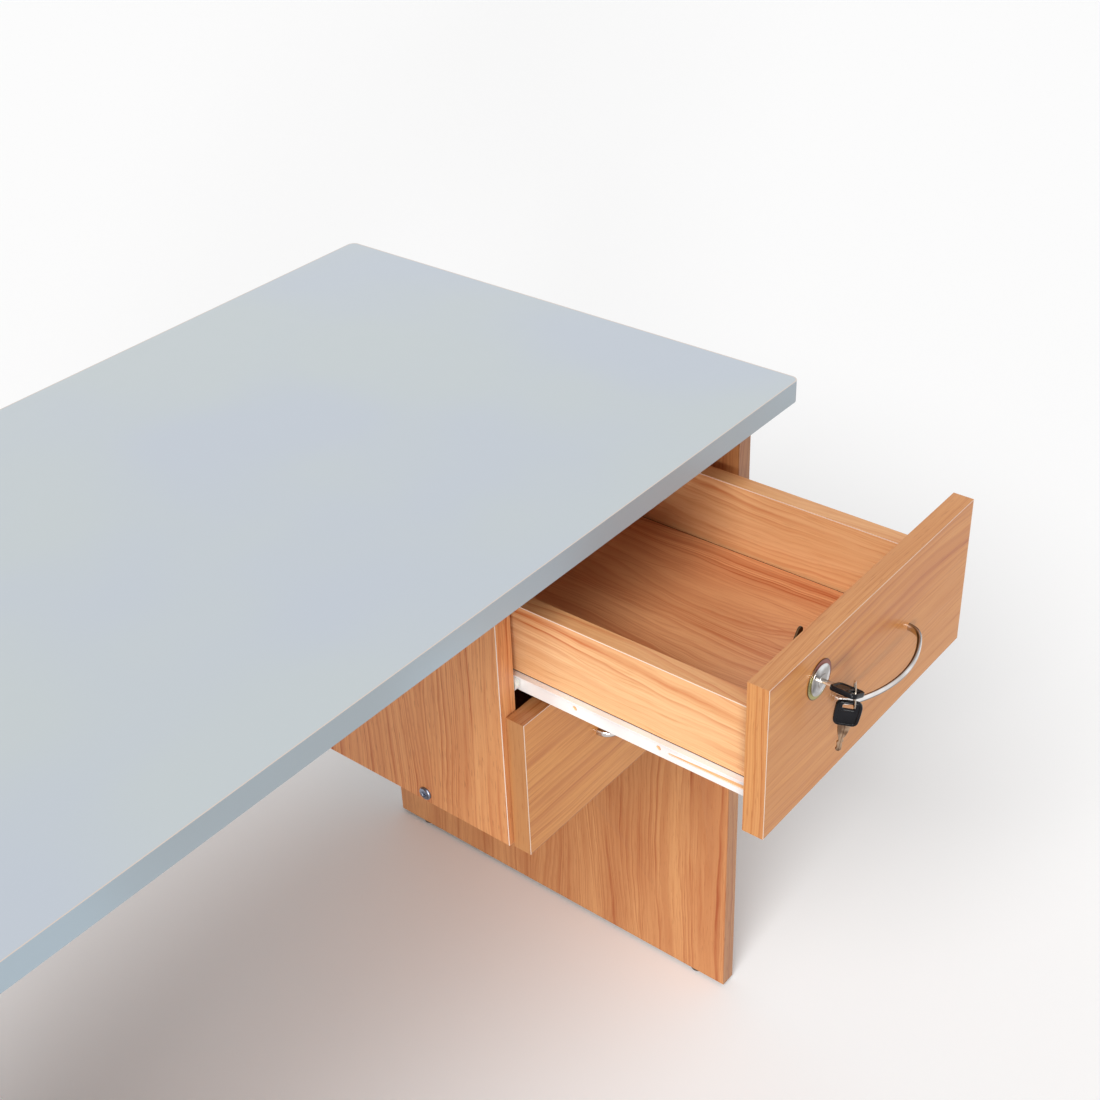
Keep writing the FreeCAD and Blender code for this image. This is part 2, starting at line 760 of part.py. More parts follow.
def make_ring_and_spare(ring_top):
    """The wire ring through the key head's slot, and the spare key that hangs on it."""
    turn = math.radians(ring_turn)
    lean = math.radians(ring_lean)
    inward = point(math.sin(turn), math.cos(turn), 0)
    across = point(math.cos(turn), -math.sin(turn), 0)
    to_centre = inward * math.cos(lean) - Z_AXIS * math.sin(lean)
    ring_centre = ring_top + to_centre * ring_radius
    add("key_ring", Part.makeTorus(ring_radius, ring_wire_radius, ring_centre, across))
    ring_bottom = ring_centre - Z_AXIS * ring_radius
    slot_top = ring_bottom.z + ring_wire_radius + hang_gap
    hang = ring_bottom - across * spare_offset
    neck = point(hang.x, hang.y, slot_top + key_slot_bar - key_head_length)
    blade = key_blade_solid(key_blade_length)
    upright = FreeCAD.Placement(neck, FreeCAD.Rotation(Z_AXIS, -ring_turn))
    tilt = FreeCAD.Placement(FreeCAD.Vector(), FreeCAD.Rotation(inward, spare_tilt), ring_bottom)
    place = tilt.multiply(upright)
    head = key_head_solid()
    head.Placement = place
    blade.Placement = place
    add("spare_key_head", head.cut(blade))
    add("spare_key_blade", blade)
    print("ring pivot", ring_top, "axis", across)
    print("spare key pivot", ring_bottom, "axis", inward)


def save_all():
    """Put the origin under the middle of the whole table's box and write each sub-part."""
    whole = Part.makeCompound(list(pieces.values())).BoundBox
    move = point(-(whole.XMin + whole.XMax) / 2, -(whole.YMin + whole.YMax) / 2, -whole.ZMin)
    os.makedirs("parts", exist_ok=True)
    for name, shape in pieces.items():
        shape.translated(move).exportStep("parts/" + name + ".step")
    print(len(pieces), "sub-parts; front edge of the worktop at y", round(move.y, 3))
    print("box", [round(size, 2) for size in (whole.XLength, whole.YLength, whole.ZLength)])


make_worktop()
make_legs()
make_modesty_panel()
make_pedestal()
make_carcass_bands()
make_glides()
make_panel_fittings()
make_connector_bolts()
rail_screws = make_cabinet_side_of_slides()
make_drawer("upper", upper_front_base, upper_front_top, upper_box_base, -upper_pull)
make_drawer("lower", lower_front_base, lower_front_top, lower_box_base, 0)
add("carcass_screws", group(rail_screws + make_strike()))
ring_hold = make_key_in_lock(make_lock(-upper_pull))
make_ring_and_spare(ring_hold)
save_all()
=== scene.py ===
"""A study table with one open drawer: its finishes, its moulded and pressed fittings, and the studio."""
import json
import math

import bmesh
import bpy
from mathutils import Matrix, Quaternion, Vector


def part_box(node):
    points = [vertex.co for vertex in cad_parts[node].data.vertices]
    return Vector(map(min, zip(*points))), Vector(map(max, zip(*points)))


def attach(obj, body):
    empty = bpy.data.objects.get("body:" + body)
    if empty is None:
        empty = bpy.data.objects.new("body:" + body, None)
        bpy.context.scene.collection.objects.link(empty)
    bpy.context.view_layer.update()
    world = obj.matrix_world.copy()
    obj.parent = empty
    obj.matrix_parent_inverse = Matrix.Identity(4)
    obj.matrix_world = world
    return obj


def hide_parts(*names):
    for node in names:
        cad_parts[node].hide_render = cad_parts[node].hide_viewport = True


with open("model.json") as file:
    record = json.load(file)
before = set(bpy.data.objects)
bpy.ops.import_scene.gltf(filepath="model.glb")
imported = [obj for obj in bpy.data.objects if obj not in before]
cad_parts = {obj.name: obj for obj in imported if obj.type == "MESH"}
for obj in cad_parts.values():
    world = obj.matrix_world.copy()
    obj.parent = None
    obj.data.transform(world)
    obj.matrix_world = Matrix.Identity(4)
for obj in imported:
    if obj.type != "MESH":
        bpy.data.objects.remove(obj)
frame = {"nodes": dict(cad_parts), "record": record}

bl_info = {
    "name": "Study Table Looks",
    "version": (1, 0, 0),
    "blender": (4, 5, 0),
    "location": "View3D > Sidebar > Table",
    "description": "Finishes, fittings and studio for a study table with drawers",
    "category": "Object",
}

bpy.context.view_layer.update()
nodes = frame["nodes"]

X_AXIS = Vector((1, 0, 0))
Y_AXIS = Vector((0, 1, 0))
Z_AXIS = Vector((0, 0, 1))
full_turn = 2 * math.pi
tiny = 1e-6
drawer_levels = ("upper", "lower")


# Property helpers

def length(text, metres):
    """A length property in metres."""
    return bpy.props.FloatProperty(description=text, default=metres, precision=5, unit="LENGTH")


def share(text, value):
    """A share property between zero and one."""
    return bpy.props.FloatProperty(description=text, default=value, min=0, max=1, subtype="FACTOR")


def angle(text, degrees):
    """An angle property, given in degrees."""
    return bpy.props.FloatProperty(description=text, default=math.radians(degrees), subtype="ANGLE")


def number(text, value):
    """A plain number property."""
    return bpy.props.FloatProperty(description=text, default=value)


def triple(text, *values):
    """A property of three numbers, such as a place or a direction."""
    return bpy.props.FloatVectorProperty(description=text, default=values, size=3)


def linear(*levels):
    """Screen levels from 0 to 255 as linear light, by the usual screen curve."""
    shares = [level / 255 for level in levels]
    return [s / 12.92 if s <= 0.04045 else ((s + 0.055) / 1.055) ** 2.4 for s in shares]


def colour(text, *levels):
    """A colour property, given in screen levels from 0 to 255."""
    return bpy.props.FloatVectorProperty(description=text, default=linear(*levels), size=3, min=0, max=1,
                                         subtype="COLOR")


class BeechFinish(bpy.types.PropertyGroup):
    """Printed beech laminate on the carcass, drawers and fronts."""
    fleck: colour("Short dark pores", 150, 82, 40)
    # The pale rim is partly the edge band's paler core and partly painted highlight.
    band_core_and_highlight: colour("Pale rim of the edge band", 250, 232, 216)
    rim_tint: colour("Deeper tone of the drawer sides' upper edges", 243, 233, 224)
    chips: colour("Bare particle board", 198, 165, 120)
    # The gap colour also paints shade: the contact shadow above the drawers' rails and the darker band on the
    # right leg.
    gap: colour("Dark line where a drawer's floor meets its sides", 84, 52, 34)
    line_spacing: length("Usual distance between growth lines", 0.0105)
    figure: length("How far the growth lines wander sideways", 0.085)
    pores: share("Strength of the dark pores", 0.2)
    gap_width: length("Width of the dark line beside a drawer's floor", 0.0008)
    band: length("Thickness of the edge band's rim", 0.001)
    rim_line: length("Width of the pale line round a drawer front", 0.00085)
    # The dark line above a drawer's rail is a painted contact shadow.
    shadow_line_height: length("Height of the dark line above a drawer's rail", 0.0009)
    roughness: share("Roughness of the laminate", 0.34)
    rounding: length("Rounding of the boards' arrises", 0.0004)


# Each kind of board: where it is, its ground, its darker bands and its growth lines. The pedestal and legs
# share one laminate: the pedestal's tones are painted lighter as painted light where the worktop shades it,
# and the legs' are painted darker as painted shade
beech_tones = {
    "carcass": ("the pedestal", (238, 174, 116), (220, 152, 98), (178, 82, 34)),
    "leg": ("the legs and modesty panel", (218, 157, 103), (198, 133, 84), (162, 78, 34)),
    "front": ("the drawer fronts", (221, 153, 82), (204, 134, 68), (174, 88, 32)),
    "band": ("the fronts' edge bands", (209, 149, 93), (199, 139, 88), (170, 98, 48)),
    "box": ("the drawers' sides", (246, 197, 146), (233, 178, 124), (198, 106, 54)),
    "floor": ("the drawers' floors", (230, 166, 116), (210, 142, 95), (174, 81, 38)),
}
tone_texts = {"pale": "Lightest ground colour of ", "deep": "Darker bands of ", "streak": "Growth lines of "}


def beech_tone_fields():
    """A colour property for each tone of each kind of board."""
    return {kind + "_" + tone: colour(text + where, *levels)
            for kind, (where, *tones) in beech_tones.items()
            for (tone, text), levels in zip(tone_texts.items(), tones)}


BeechFinish.__annotations__.update(beech_tone_fields())


# Every other surface: its ground, its clouds or second colour, and in places the colour of its edge
surface_tones = {
    "worktop_laminate": ((193, 201, 204), (190, 198, 208)),
    "worktop_edge_band": ((163, 174, 181), (174, 190, 201), (216, 202, 192)),
    "slide_enamel": ((250, 248, 246), (241, 235, 232)),
    "roller_nylon": ((236, 233, 224), (241, 235, 232)),
    "dowel_wood": ((222, 190, 142), (233, 178, 124)),
    "glide_plastic": ((74, 62, 54), (20, 20, 24)),
    "key_plastic": ((7, 7, 9), (20, 20, 24)),
    "zinc_plated_steel": ((190, 192, 198), (150, 158, 176)),
    "dark_bolt_steel": ((98, 96, 100), (150, 158, 176)),
    "cast_zinc": ((176, 176, 172), (150, 158, 176)),
    # The handle chrome's edge colour is a painted dark reflection along the bar's edges.
    "handle_chrome": ((246, 244, 243), (204, 198, 194), (58, 54, 54)),
    "lock_chrome": ((226, 227, 229), (168, 164, 162)),
    "lock_steel": ((190, 192, 198), (150, 158, 176)),
    "lock_bronze": ((92, 70, 50), (52, 38, 30)),
    # The yellow zinc ring's edge colour is painted shade on its rolled rim.
    "yellow_zinc_ring": ((170, 162, 104), (142, 86, 78), (92, 58, 42)),
    "key_nickel": ((172, 146, 122), (116, 90, 70)),
    "ring_nickel": ((222, 216, 206), (158, 146, 132)),
}
surface_parts = ("ground", "cloud", "edge")


class SurfaceFinish(bpy.types.PropertyGroup):
    """Colours of the grey laminate, enamel, metals and plastics."""
    __annotations__ = {
        name + "_" + part: colour(part.capitalize() + " of the " + name.replace("_", " "), *levels)
        for name, tones in surface_tones.items() for part, levels in zip(surface_parts, tones)}


class FittingSizes(bpy.types.PropertyGroup):
    """Sizes of the fittings' details."""
    sheet_rounding: length("Rounding of the pressed steel's edges", 0.00035)
    recess_arm: share("Reach of a cross recess as a share of the head", 0.6)
    recess_width: share("Width of a cross recess as a share of the head", 0.16)
    strap_half_thickness: length("Half the handle's bar along its bow", 0.0020)
    strap_half_height: length("Half the handle's bar upright", 0.0022)
    foot_half_height: length("Half the handle's foot upright", 0.0031)
    foot_half_thickness: length("Half the handle's foot along the front", 0.0024)
    foot_reach: length("How far up the bow the foot flares", 0.019)
    end_radius: length("Small radius at each end of the bow", 0.016)
    barrel_radius: length("Radius of the lock's threaded barrel", 0.0095)
    dome_rim: length("Upright rim of the lock's dome", 0.0008)
    dome_edge: length("Rounding of the dome's rim", 0.0003)
    thread_pitch: length("Pitch of the barrel's thread", 0.001)
    thread_depth: length("Depth of the barrel's thread", 0.0005)
    cam_tip: length("Radius of the lock cam's rounded tip", 0.0036)
    lock_turn: angle("How far the stored lock is turned from upright", 25)


class KeySizes(bpy.types.PropertyGroup):
    """Sizes of the two keys and of how the spare one hangs."""
    width: length("Head's width at its far end", 0.0204)
    neck_width: length("Head's width at its neck", 0.019)
    thickness: length("Head's thickness", 0.004)
    corner: length("Radius of the head's corners", 0.0042)
    least_corner: length("Smallest radius of the panel's corners", 0.0004)
    bulge: share("How much narrower the head is at both ends", 0.07)
    border: length("Width of the head's raised border", 0.0021)
    bar_border: share("Most of the slot's bar that the border may take", 0.42)
    recess: length("Depth of the head's sunk panel", 0.0006)
    bevel: length("Rounding of the head's border", 0.0009)
    slot_width: length("Width of the ring's slot", 0.0095)
    slot_height: length("Height of the ring's slot", 0.005)
    slot_bar: length("Bar between the slot and the head's far end", 0.0023)
    slot_corner: length("Radius of the slot's corners", 0.0016)
    ledge_width: length("Width of the ledge below the slot", 0.0105)
    ledge_height: length("Height of the ledge below the slot", 0.0011)
    blade_thickness: length("Blade's thickness", 0.002)
    blade_width: length("Blade's width", 0.0078)
    shoulder: length("How far the blade reaches into the head", 0.006)
    shoulder_width: length("Spare blade's width at its shoulder", 0.0096)
    tip_width: length("Spare blade's width where it is cut", 0.0052)
    cut: length("Deepest cut in the spare blade", 0.0011)
    groove_depth: length("Depth of the blade's milled groove", 0.00055)
    groove_reach: length("Groove's wide side, from the blade's middle", 0.0016)
    groove_back: length("Groove's narrow side, from the blade's middle", 0.0005)
    spare_reach: length("Length of the spare key's blade", 0.025)
    wire_radius: length("Half the thickness of the key ring's wire", 0.00065)
    hang_gap: length("Room between the wire and the slot's bar", 0.0003)
    spare_offset: length("How far the spare key hangs to one side", 0.0032)
    spare_tilt: angle("How far the spare key leans", 8)


class Studio(bpy.types.PropertyGroup):
    """Camera, floor and light."""
    camera_place: triple("Where the camera stands", -0.5472, -0.82159, 1.4404)
    heading: angle("Turn of the view from straight back towards the right", 49.475)
    dip: angle("How far the camera looks down", 33.05)
    roll: angle("Roll of the camera", -2.83)
    lens: number("Focal length in millimetres", 53.94)
    shift_right: number("Sideways shift of the frame", 0.01352)
    shift_up: number("Upward shift of the frame", -0.01006)
    floor_size: length("Half the floor's width", 9.0)
    floor: colour("Floor as it lights the table from below", 178, 178, 178)
    floor_seen: share("Brightness of the floor as the camera sees it", 0.97)
    ambient: number("Strength of the even light", 0.49)
    high_power: number("Strength of the high lamp on the left", 2.2)
    high_spread: angle("Softness of the high lamp", 30)
    high_side: triple("Where the high lamp shines from", -0.70, -0.22, 0.68)
    low_power: number("Strength of the low lamp in front", 1.41)
    low_spread: angle("Softness of the low lamp", 14)
    low_side: triple("Where the low lamp shines from", -0.80, -0.59, 0.08)


# Shader writing

class Writer:
    """Adds nodes to a shader tree and links them as it goes."""

    def __init__(self, tree):
        self.tree = tree

    def add(self, kind, inputs=None, **settings):
        """A node with its settings, its inputs fed by name or place."""
        node = self.tree.nodes.new(kind)
        for name, value in settings.items():
            setattr(node, name, value)
        for name, value in (inputs or {}).items():
            self.feed(node.inputs[name], value)
        return node

    def feed(self, socket, value):
        """Links another node's output to a socket, or sets the socket's own value."""
        if isinstance(value, bpy.types.NodeSocket):
            self.tree.links.new(value, socket)
        elif socket.type == "RGBA" and len(value) == 3:
            socket.default_value = (*value, 1)
        else:
            socket.default_value = value

    def math(self, operation, first, second=0.0, third=0.0, clamp=False):
        """The result of an operation on numbers."""
        node = self.add("ShaderNodeMath", {0: first, 1: second, 2: third}, operation=operation,
                        use_clamp=clamp)
        return node.outputs[0]

    def plus(self, first, second, clamp=False):
        """The sum of two numbers."""
        return self.math("ADD", first, second, clamp=clamp)

    def minus(self, first, second):
        """The difference of two numbers."""
        return self.math("SUBTRACT", first, second)

    def times(self, first, second):
        """The product of two numbers."""
        return self.math("MULTIPLY", first, second)

    def vector(self, operation, first, second=(0, 0, 0)):
        """The result of an operation on vectors."""
        node = self.add("ShaderNodeVectorMath", {0: first, 1: second}, operation=operation)
        return node.outputs["Value" if operation == "DOT_PRODUCT" else "Vector"]

    def join(self, x, y, z):
        """A vector from three numbers."""
        return self.add("ShaderNodeCombineXYZ", {"X": x, "Y": y, "Z": z}).outputs[0]

    def split(self, vector):
        """The three numbers of a vector."""
        return self.add("ShaderNodeSeparateXYZ", {0: vector}).outputs

    def blend(self, amount, first, second, mode="MIX"):
        """Two colours mixed; the node keeps its colour sockets behind those for numbers and vectors."""
        node = self.add("ShaderNodeMix", data_type="RGBA", blend_type=mode)
        for index, value in ((0, amount), (6, first), (7, second)):
            self.feed(node.inputs[index], value)
        return node.outputs[2]

    def noise(self, vector, scale=1.0, detail=2.0, roughness=0.5):
        """Soft noise round a half."""
        node = self.add("ShaderNodeTexNoise", {"Vector": vector, "Scale": scale, "Detail": detail,
                                               "Roughness": roughness})
        return node.outputs[0]

    def ramp(self, value, start, end, low=0.0, high=1.0):
        """A smooth rise or fall from low to high while the value runs from start to end."""
        node = self.add("ShaderNodeMapRange", {"Value": value, "From Min": start, "From Max": end,
                                               "To Min": low, "To Max": high},
                        interpolation_type="SMOOTHSTEP")
        return node.outputs[0]

    def group(self, name, inputs):
        """The outputs of a node group, which is built the first time that it is asked for."""
        tree = bpy.data.node_groups.get(name) or group_makers[name]()
        return self.add("ShaderNodeGroup", inputs, node_tree=tree).outputs


socket_kinds = {"float": "NodeSocketFloat", "colour": "NodeSocketColor", "vector": "NodeSocketVector"}


def new_group(name, inputs, outputs):
    """An empty node group with its sockets by kind: its tree, its writer, what it is given and its result."""
    tree = bpy.data.node_groups.new(name, "ShaderNodeTree")
    for sockets, side in ((inputs, "INPUT"), (outputs, "OUTPUT")):
        for kind, labels in sockets.items():
            for label in labels:
                tree.interface.new_socket(label, in_out=side, socket_type=socket_kinds[kind])
    writer = Writer(tree)
    given = writer.add("NodeGroupInput").outputs
    result = writer.add("NodeGroupOutput").inputs
    return tree, writer, given, result


# Layers of the print: waves per metre along and across the grain, place in the noise, detail, roughness
print_layers = {"arch": (2.6, 8, 1.3, 1.0, 0.5), "waver": (16, 36, 4.1, 2.0, 0.5),
                "uneven": (0.6, 45, 6.2, 2.0, 0.5), "fade": (5, 30, 12.5, 2.0, 0.5),
                "bands": (1.8, 24, 11.0, 3.0, 0.5), "blush": (3.2, 20, 17.0, 2.0, 0.5),
                "fibre": (11, 330, 13.0, 4.0, 0.66), "pore": (60, 640, 15.0, 1.0, 0.5)}
# Where a layer sets in, where it is full, and its least and greatest strength
print_ramps = {"fade": (0.34, 0.62, 0.15, 1.0), "bands": (0.3, 0.72), "blush": (0.5, 0.8, 0.0, 0.42),
               "pore": (0.6, 0.72), "deep fibre": (0.4, 0.7, 0.0, 0.7),
               "streak fibre": (0.52, 0.78, 0.0, 0.5), "gloss": (0.2, 0.8, -0.05, 0.07)}
# Growth lines and the finer ones between: lines per ring, shift in the noise, where their dark part
# begins in each ring, and for both where it is darkest and how sharp and how strong it is
growth_lines = {"Lines": (1.0, 0.0, 0.2), "Fine": (3.3, 5.0, 0.1)}
waver_share = 0.1
uneven_spacing = 2.4
line_peak = 0.84
line_sharpness = 1.8
line_own_share = 0.75
line_least_share = 0.35
line_shift_share = 0.37


def beech_print_group():
    """Growth rings as the contours of a wandering field, with soft bands, fibres and short pores."""
    numbers = ("Along", "Across", "Seed", "Line Spacing", "Figure", "Pores", "Lines", "Fine")
    tree, w, given, result = new_group(
        "Beech print", {"float": numbers, "colour": ("Pale", "Deep", "Streak", "Fleck")},
        {"colour": ("Color",), "float": ("Roughness", "Height")})
    along, across, seed = given["Along"], given["Across"], given["Seed"]

    def layer(name, across_value, shift=0.0):
        """Noise stretched along the grain."""
        along_rate, across_rate, place, detail, roughness = print_layers[name]
        spot = w.join(w.times(along, along_rate), w.times(across_value, across_rate),
                      w.plus(seed, place + shift))
        return w.noise(spot, 1.0, detail, roughness)

    arch = w.times(w.minus(layer("arch", across), 0.5), given["Figure"])
    waver = w.times(w.minus(layer("waver", across), 0.5), w.times(given["Figure"], waver_share))
    bent = w.plus(w.plus(across, arch), waver)
    uneven = w.times(layer("uneven", bent), uneven_spacing)
    rings = w.plus(w.math("DIVIDE", bent, given["Line Spacing"]), uneven)

    def growth(name):
        """Dark late wood that rises slowly and ends sharply, each line and stretch of its own strength."""
        per_ring, shift, rise = growth_lines[name]
        lines = w.math("MULTIPLY_ADD", rings, per_ring, shift * line_shift_share)
        turn = w.math("FRACT", lines)
        late = w.times(w.ramp(turn, rise, line_peak), w.ramp(turn, line_peak, 1.0, 1.0, 0.0))
        line_place = w.join(w.math("FLOOR", lines), seed, shift)
        each = w.add("ShaderNodeTexWhiteNoise", {"Vector": line_place}, noise_dimensions="3D").outputs[0]
        own = w.math("MULTIPLY_ADD", w.times(each, each), line_own_share, line_least_share)
        fade = w.ramp(layer("fade", bent, shift), *print_ramps["fade"])
        line = w.times(w.math("POWER", late, line_sharpness), w.times(fade, own))
        return w.times(line, given[name])

    lines = w.plus(growth("Lines"), growth("Fine"))
    bands = w.ramp(layer("bands", bent), *print_ramps["bands"])
    blush = w.ramp(layer("blush", bent), *print_ramps["blush"])
    fibre = layer("fibre", w.plus(across, waver))
    pore = w.times(w.ramp(layer("pore", across), *print_ramps["pore"]), given["Pores"])
    tone = w.blend(bands, given["Pale"], given["Deep"])
    tone = w.blend(w.plus(blush, lines, clamp=True), tone, given["Streak"])
    tone = w.blend(w.ramp(fibre, *print_ramps["deep fibre"]), tone, given["Deep"])
    tone = w.blend(w.ramp(fibre, *print_ramps["streak fibre"]), tone, given["Streak"])
    w.feed(result["Color"], w.blend(pore, tone, given["Fleck"]))
    w.feed(result["Roughness"], w.ramp(fibre, *print_ramps["gloss"]))
    w.feed(result["Height"], w.minus(fibre, pore))
    return tree


side_shift_share = 0.7
end_grain_ramp = (0.8, 0.9)


def board_axes_group():
    """Where a point lies along the grain and across it, on any side of a square board."""
    tree, w, given, result = new_group("Board axes", {"vector": ("Position", "Normal", "Grain")},
                                       {"float": ("Along", "Across", "End")})
    position, grain = given["Position"], given["Grain"]
    flat = w.vector("ABSOLUTE", given["Normal"])
    side = w.vector("ABSOLUTE", w.vector("CROSS_PRODUCT", grain, flat))
    offset = w.vector("DOT_PRODUCT", position, w.vector("MULTIPLY", flat, (side_shift_share,) * 3))
    w.feed(result["Along"], w.vector("DOT_PRODUCT", position, grain))
    w.feed(result["Across"], w.plus(w.vector("DOT_PRODUCT", position, side), offset))
    w.feed(result["End"], w.ramp(w.vector("DOT_PRODUCT", flat, grain), *end_grain_ramp))
    return tree


chips_per_metre = 620.0
chip_shade_ramp = (0.2, 1.0, 0.0, 0.55)


def particle_board_group():
    """Pressed chips, as on a bare cut edge."""
    tree, w, given, result = new_group(
        "Particle board", {"vector": ("Position",), "colour": ("Chips", "Dark")},
        {"colour": ("Color",), "float": ("Height",)})
    place = {"Vector": given["Position"], "Scale": chips_per_metre}
    cell = w.add("ShaderNodeTexVoronoi", place, feature="F1")
    shade = w.ramp(w.split(cell.outputs["Color"])[0], *chip_shade_ramp)
    w.feed(result["Color"], w.blend(shade, given["Chips"], given["Dark"]))
    w.feed(result["Height"], cell.outputs["Distance"])
    return tree


cloud_noise = (1.0, 2.0, 0.45)
cloud_ramp = (0.36, 0.64)


def clouding_group():
    """Soft clouds of a second colour."""
    tree, w, given, result = new_group(
        "Clouding", {"vector": ("Position",), "colour": ("Ground", "Cloud"), "float": ("Size",)},
        {"colour": ("Color",)})
    place = w.vector("DIVIDE", given["Position"], w.join(given["Size"], given["Size"], given["Size"]))
    soft = w.ramp(w.noise(place, *cloud_noise), *cloud_ramp)
    w.feed(result["Color"], w.blend(soft, given["Ground"], given["Cloud"]))
    return tree


# Noises of a skin: fineness as a share of its grain's, detail and roughness
skin_noises = {"skin": (1.0, 3.0, 0.55), "patch": (0.06, 2.0, 0.5), "rub": (0.35, 4.0, 0.7)}
rub_stretch = (1, 7, 3)
rub_ramp = (0.56, 0.7)
rub_share = 0.4


def surface_grain_group():
    """Fine unevenness of a pressed, sprayed or moulded skin, with faint rubbed marks."""
    tree, w, given, result = new_group(
        "Surface grain", {"vector": ("Position",), "float": ("Fineness", "Roughness", "Spread")},
        {"float": ("Roughness", "Height", "Marks")})

    def noise(name, place):
        """One of the skin's noises."""
        fineness_share, detail, roughness = skin_noises[name]
        return w.noise(place, w.times(given["Fineness"], fineness_share), detail, roughness)

    rub = w.ramp(noise("rub", w.vector("MULTIPLY", given["Position"], rub_stretch)), *rub_ramp)
    uneven = w.minus(w.plus(noise("patch", given["Position"]), w.times(rub, rub_share)), 0.5)
    w.feed(result["Roughness"], w.plus(given["Roughness"], w.times(uneven, given["Spread"]), clamp=True))
    w.feed(result["Height"], noise("skin", given["Position"]))
    w.feed(result["Marks"], rub)
    return tree


group_makers = {"Beech print": beech_print_group, "Board axes": board_axes_group,
                "Particle board": particle_board_group, "Clouding": clouding_group,
                "Surface grain": surface_grain_group}


def new_material(name):
    """A material with its writer, its principled shader, object coordinates and true normal."""
    material = bpy.data.materials.new(name)
    material.use_nodes = True
    material.node_tree.nodes.clear()
    w = Writer(material.node_tree)
    shader = w.add("ShaderNodeBsdfPrincipled")
    w.add("ShaderNodeOutputMaterial", {"Surface": shader.outputs[0]})
    position = w.add("ShaderNodeTexCoord").outputs["Object"]
    normal = w.add("ShaderNodeNewGeometry").outputs["True Normal"]
    return material, w, shader.inputs, position, normal


def relief(w, height, depth):
    """A bumped normal from a height that runs from 0 to 1, with its depth in metres."""
    bump = w.add("ShaderNodeBump", {"Height": height, "Distance": depth, "Strength": 1.0})
    return bump.outputs["Normal"]


# Beech boards

print_depth = 0.00003
board_specular = 0.4
pore_shares = {"carcass": 1.9, "leg": 1.0, "front": 0.6, "band": 1.4, "box": 0.5, "floor": 0.5}
line_shares = {"carcass": 1.0, "leg": 0.82, "front": 0.65, "band": 0.8, "box": 0.8, "floor": 0.88}
fine_shares = {"carcass": 0.75, "leg": 0.55, "front": 0.55, "band": 0.6, "box": 0.5, "floor": 0.7}
spacing_shares = {"carcass": 1.0, "leg": 1.2, "front": 1.2, "band": 0.6, "box": 1.05, "floor": 1.2}
figure_shares = {"carcass": 0.7, "leg": 0.75, "front": 0.55, "band": 0.4, "box": 0.9, "floor": 1.15}
# The fronts' edge bands: the upper one lighter as painted light, the lower one darker as painted shade from
# the open upper drawer.
band_painted_light_shares = {"upper": 1.07, "lower": 0.9}
# Strengths of the pale rim's painted highlight at the fronts' top and right edges and along the drawer sides'
# tops; the leg entry is the strength of the painted shade on the right leg's band.
rim_highlight_and_shade_shares = {"top": 0.6, "right": 0.5, "box": 0.8, "leg": 0.4}
strip_shift_share = 0.3
carcass_shift_share = 0.5
facing_outward = 0.8
beech_seeds = iter(range(3, 400, 7))


def beech_material(name, kind, grain, core_and_highlight_mask=None, along_across=None, gap_and_shade_mask=None, painted_light_share=1.0):
    """Beech laminate of one kind with the grain along an axis; the masks paint a band's pale rim, partly its
    paler core and partly painted highlight, and dark gaps, some of them painted shade; a share scales the
    tones as painted light and shade.
    """
    finish = bpy.context.scene.beech_finish
    pale, deep, streak = (getattr(finish, kind + "_" + tone) * painted_light_share for tone in tone_texts)
    material, w, shader, position, normal = new_material(name)
    axes = w.group("Board axes", {"Position": position, "Normal": normal, "Grain": grain})
    along, across = axes["Along"], axes["Across"]
    if along_across:
        along, across = along_across(w, position, normal)
    grain_print = w.group("Beech print", {
        "Along": along, "Across": across, "Seed": float(next(beech_seeds)), "Pale": pale, "Deep": deep,
        "Streak": streak, "Fleck": finish.fleck, "Line Spacing": finish.line_spacing * spacing_shares[kind],
        "Figure": finish.figure * figure_shares[kind], "Pores": finish.pores * pore_shares[kind],
        "Lines": line_shares[kind], "Fine": fine_shares[kind]})
    tone, height = grain_print["Color"], grain_print["Height"]
    if not along_across:
        chips = w.group("Particle board", {"Position": position, "Chips": finish.chips, "Dark": streak})
        tone = w.blend(axes["End"], tone, chips["Color"])
        height = w.plus(w.times(axes["End"], chips["Height"]), height)
    if kind == "box":
        tone = w.blend(facing(w, normal, Z_AXIS), tone, w.blend(1.0, tone, finish.rim_tint, "MULTIPLY"))
    for mask, paint in ((core_and_highlight_mask, finish.band_core_and_highlight), (gap_and_shade_mask, finish.gap)):
        if mask:
            tone = w.blend(mask(w, position, normal), tone, paint)
    w.feed(shader["Base Color"], tone)
    w.feed(shader["Roughness"], w.plus(grain_print["Roughness"], finish.roughness))
    w.feed(shader["Normal"], relief(w, height, print_depth))
    shader["Specular IOR Level"].default_value = board_specular
    return material


def facing(w, normal, axis, start=0.75, end=0.85):
    """One where the surface faces along or against an axis, else zero."""
    return w.ramp(w.math("ABSOLUTE", w.vector("DOT_PRODUCT", normal, axis)), start, end)


def front_band_axes(w, position, normal):
    """Grain along each strip of the band round a drawer front."""
    x, y, z = w.split(position)
    upright = facing(w, normal, X_AXIS)
    lying = w.minus(1.0, upright)
    return w.plus(w.times(upright, z), w.times(lying, x)), w.plus(y, w.times(lying, strip_shift_share))


def carcass_band_axes(w, position, normal):
    """Grain along the upright bands of the carcass."""
    x, y, z = w.split(position)
    return z, w.plus(x, w.times(y, carcass_shift_share))


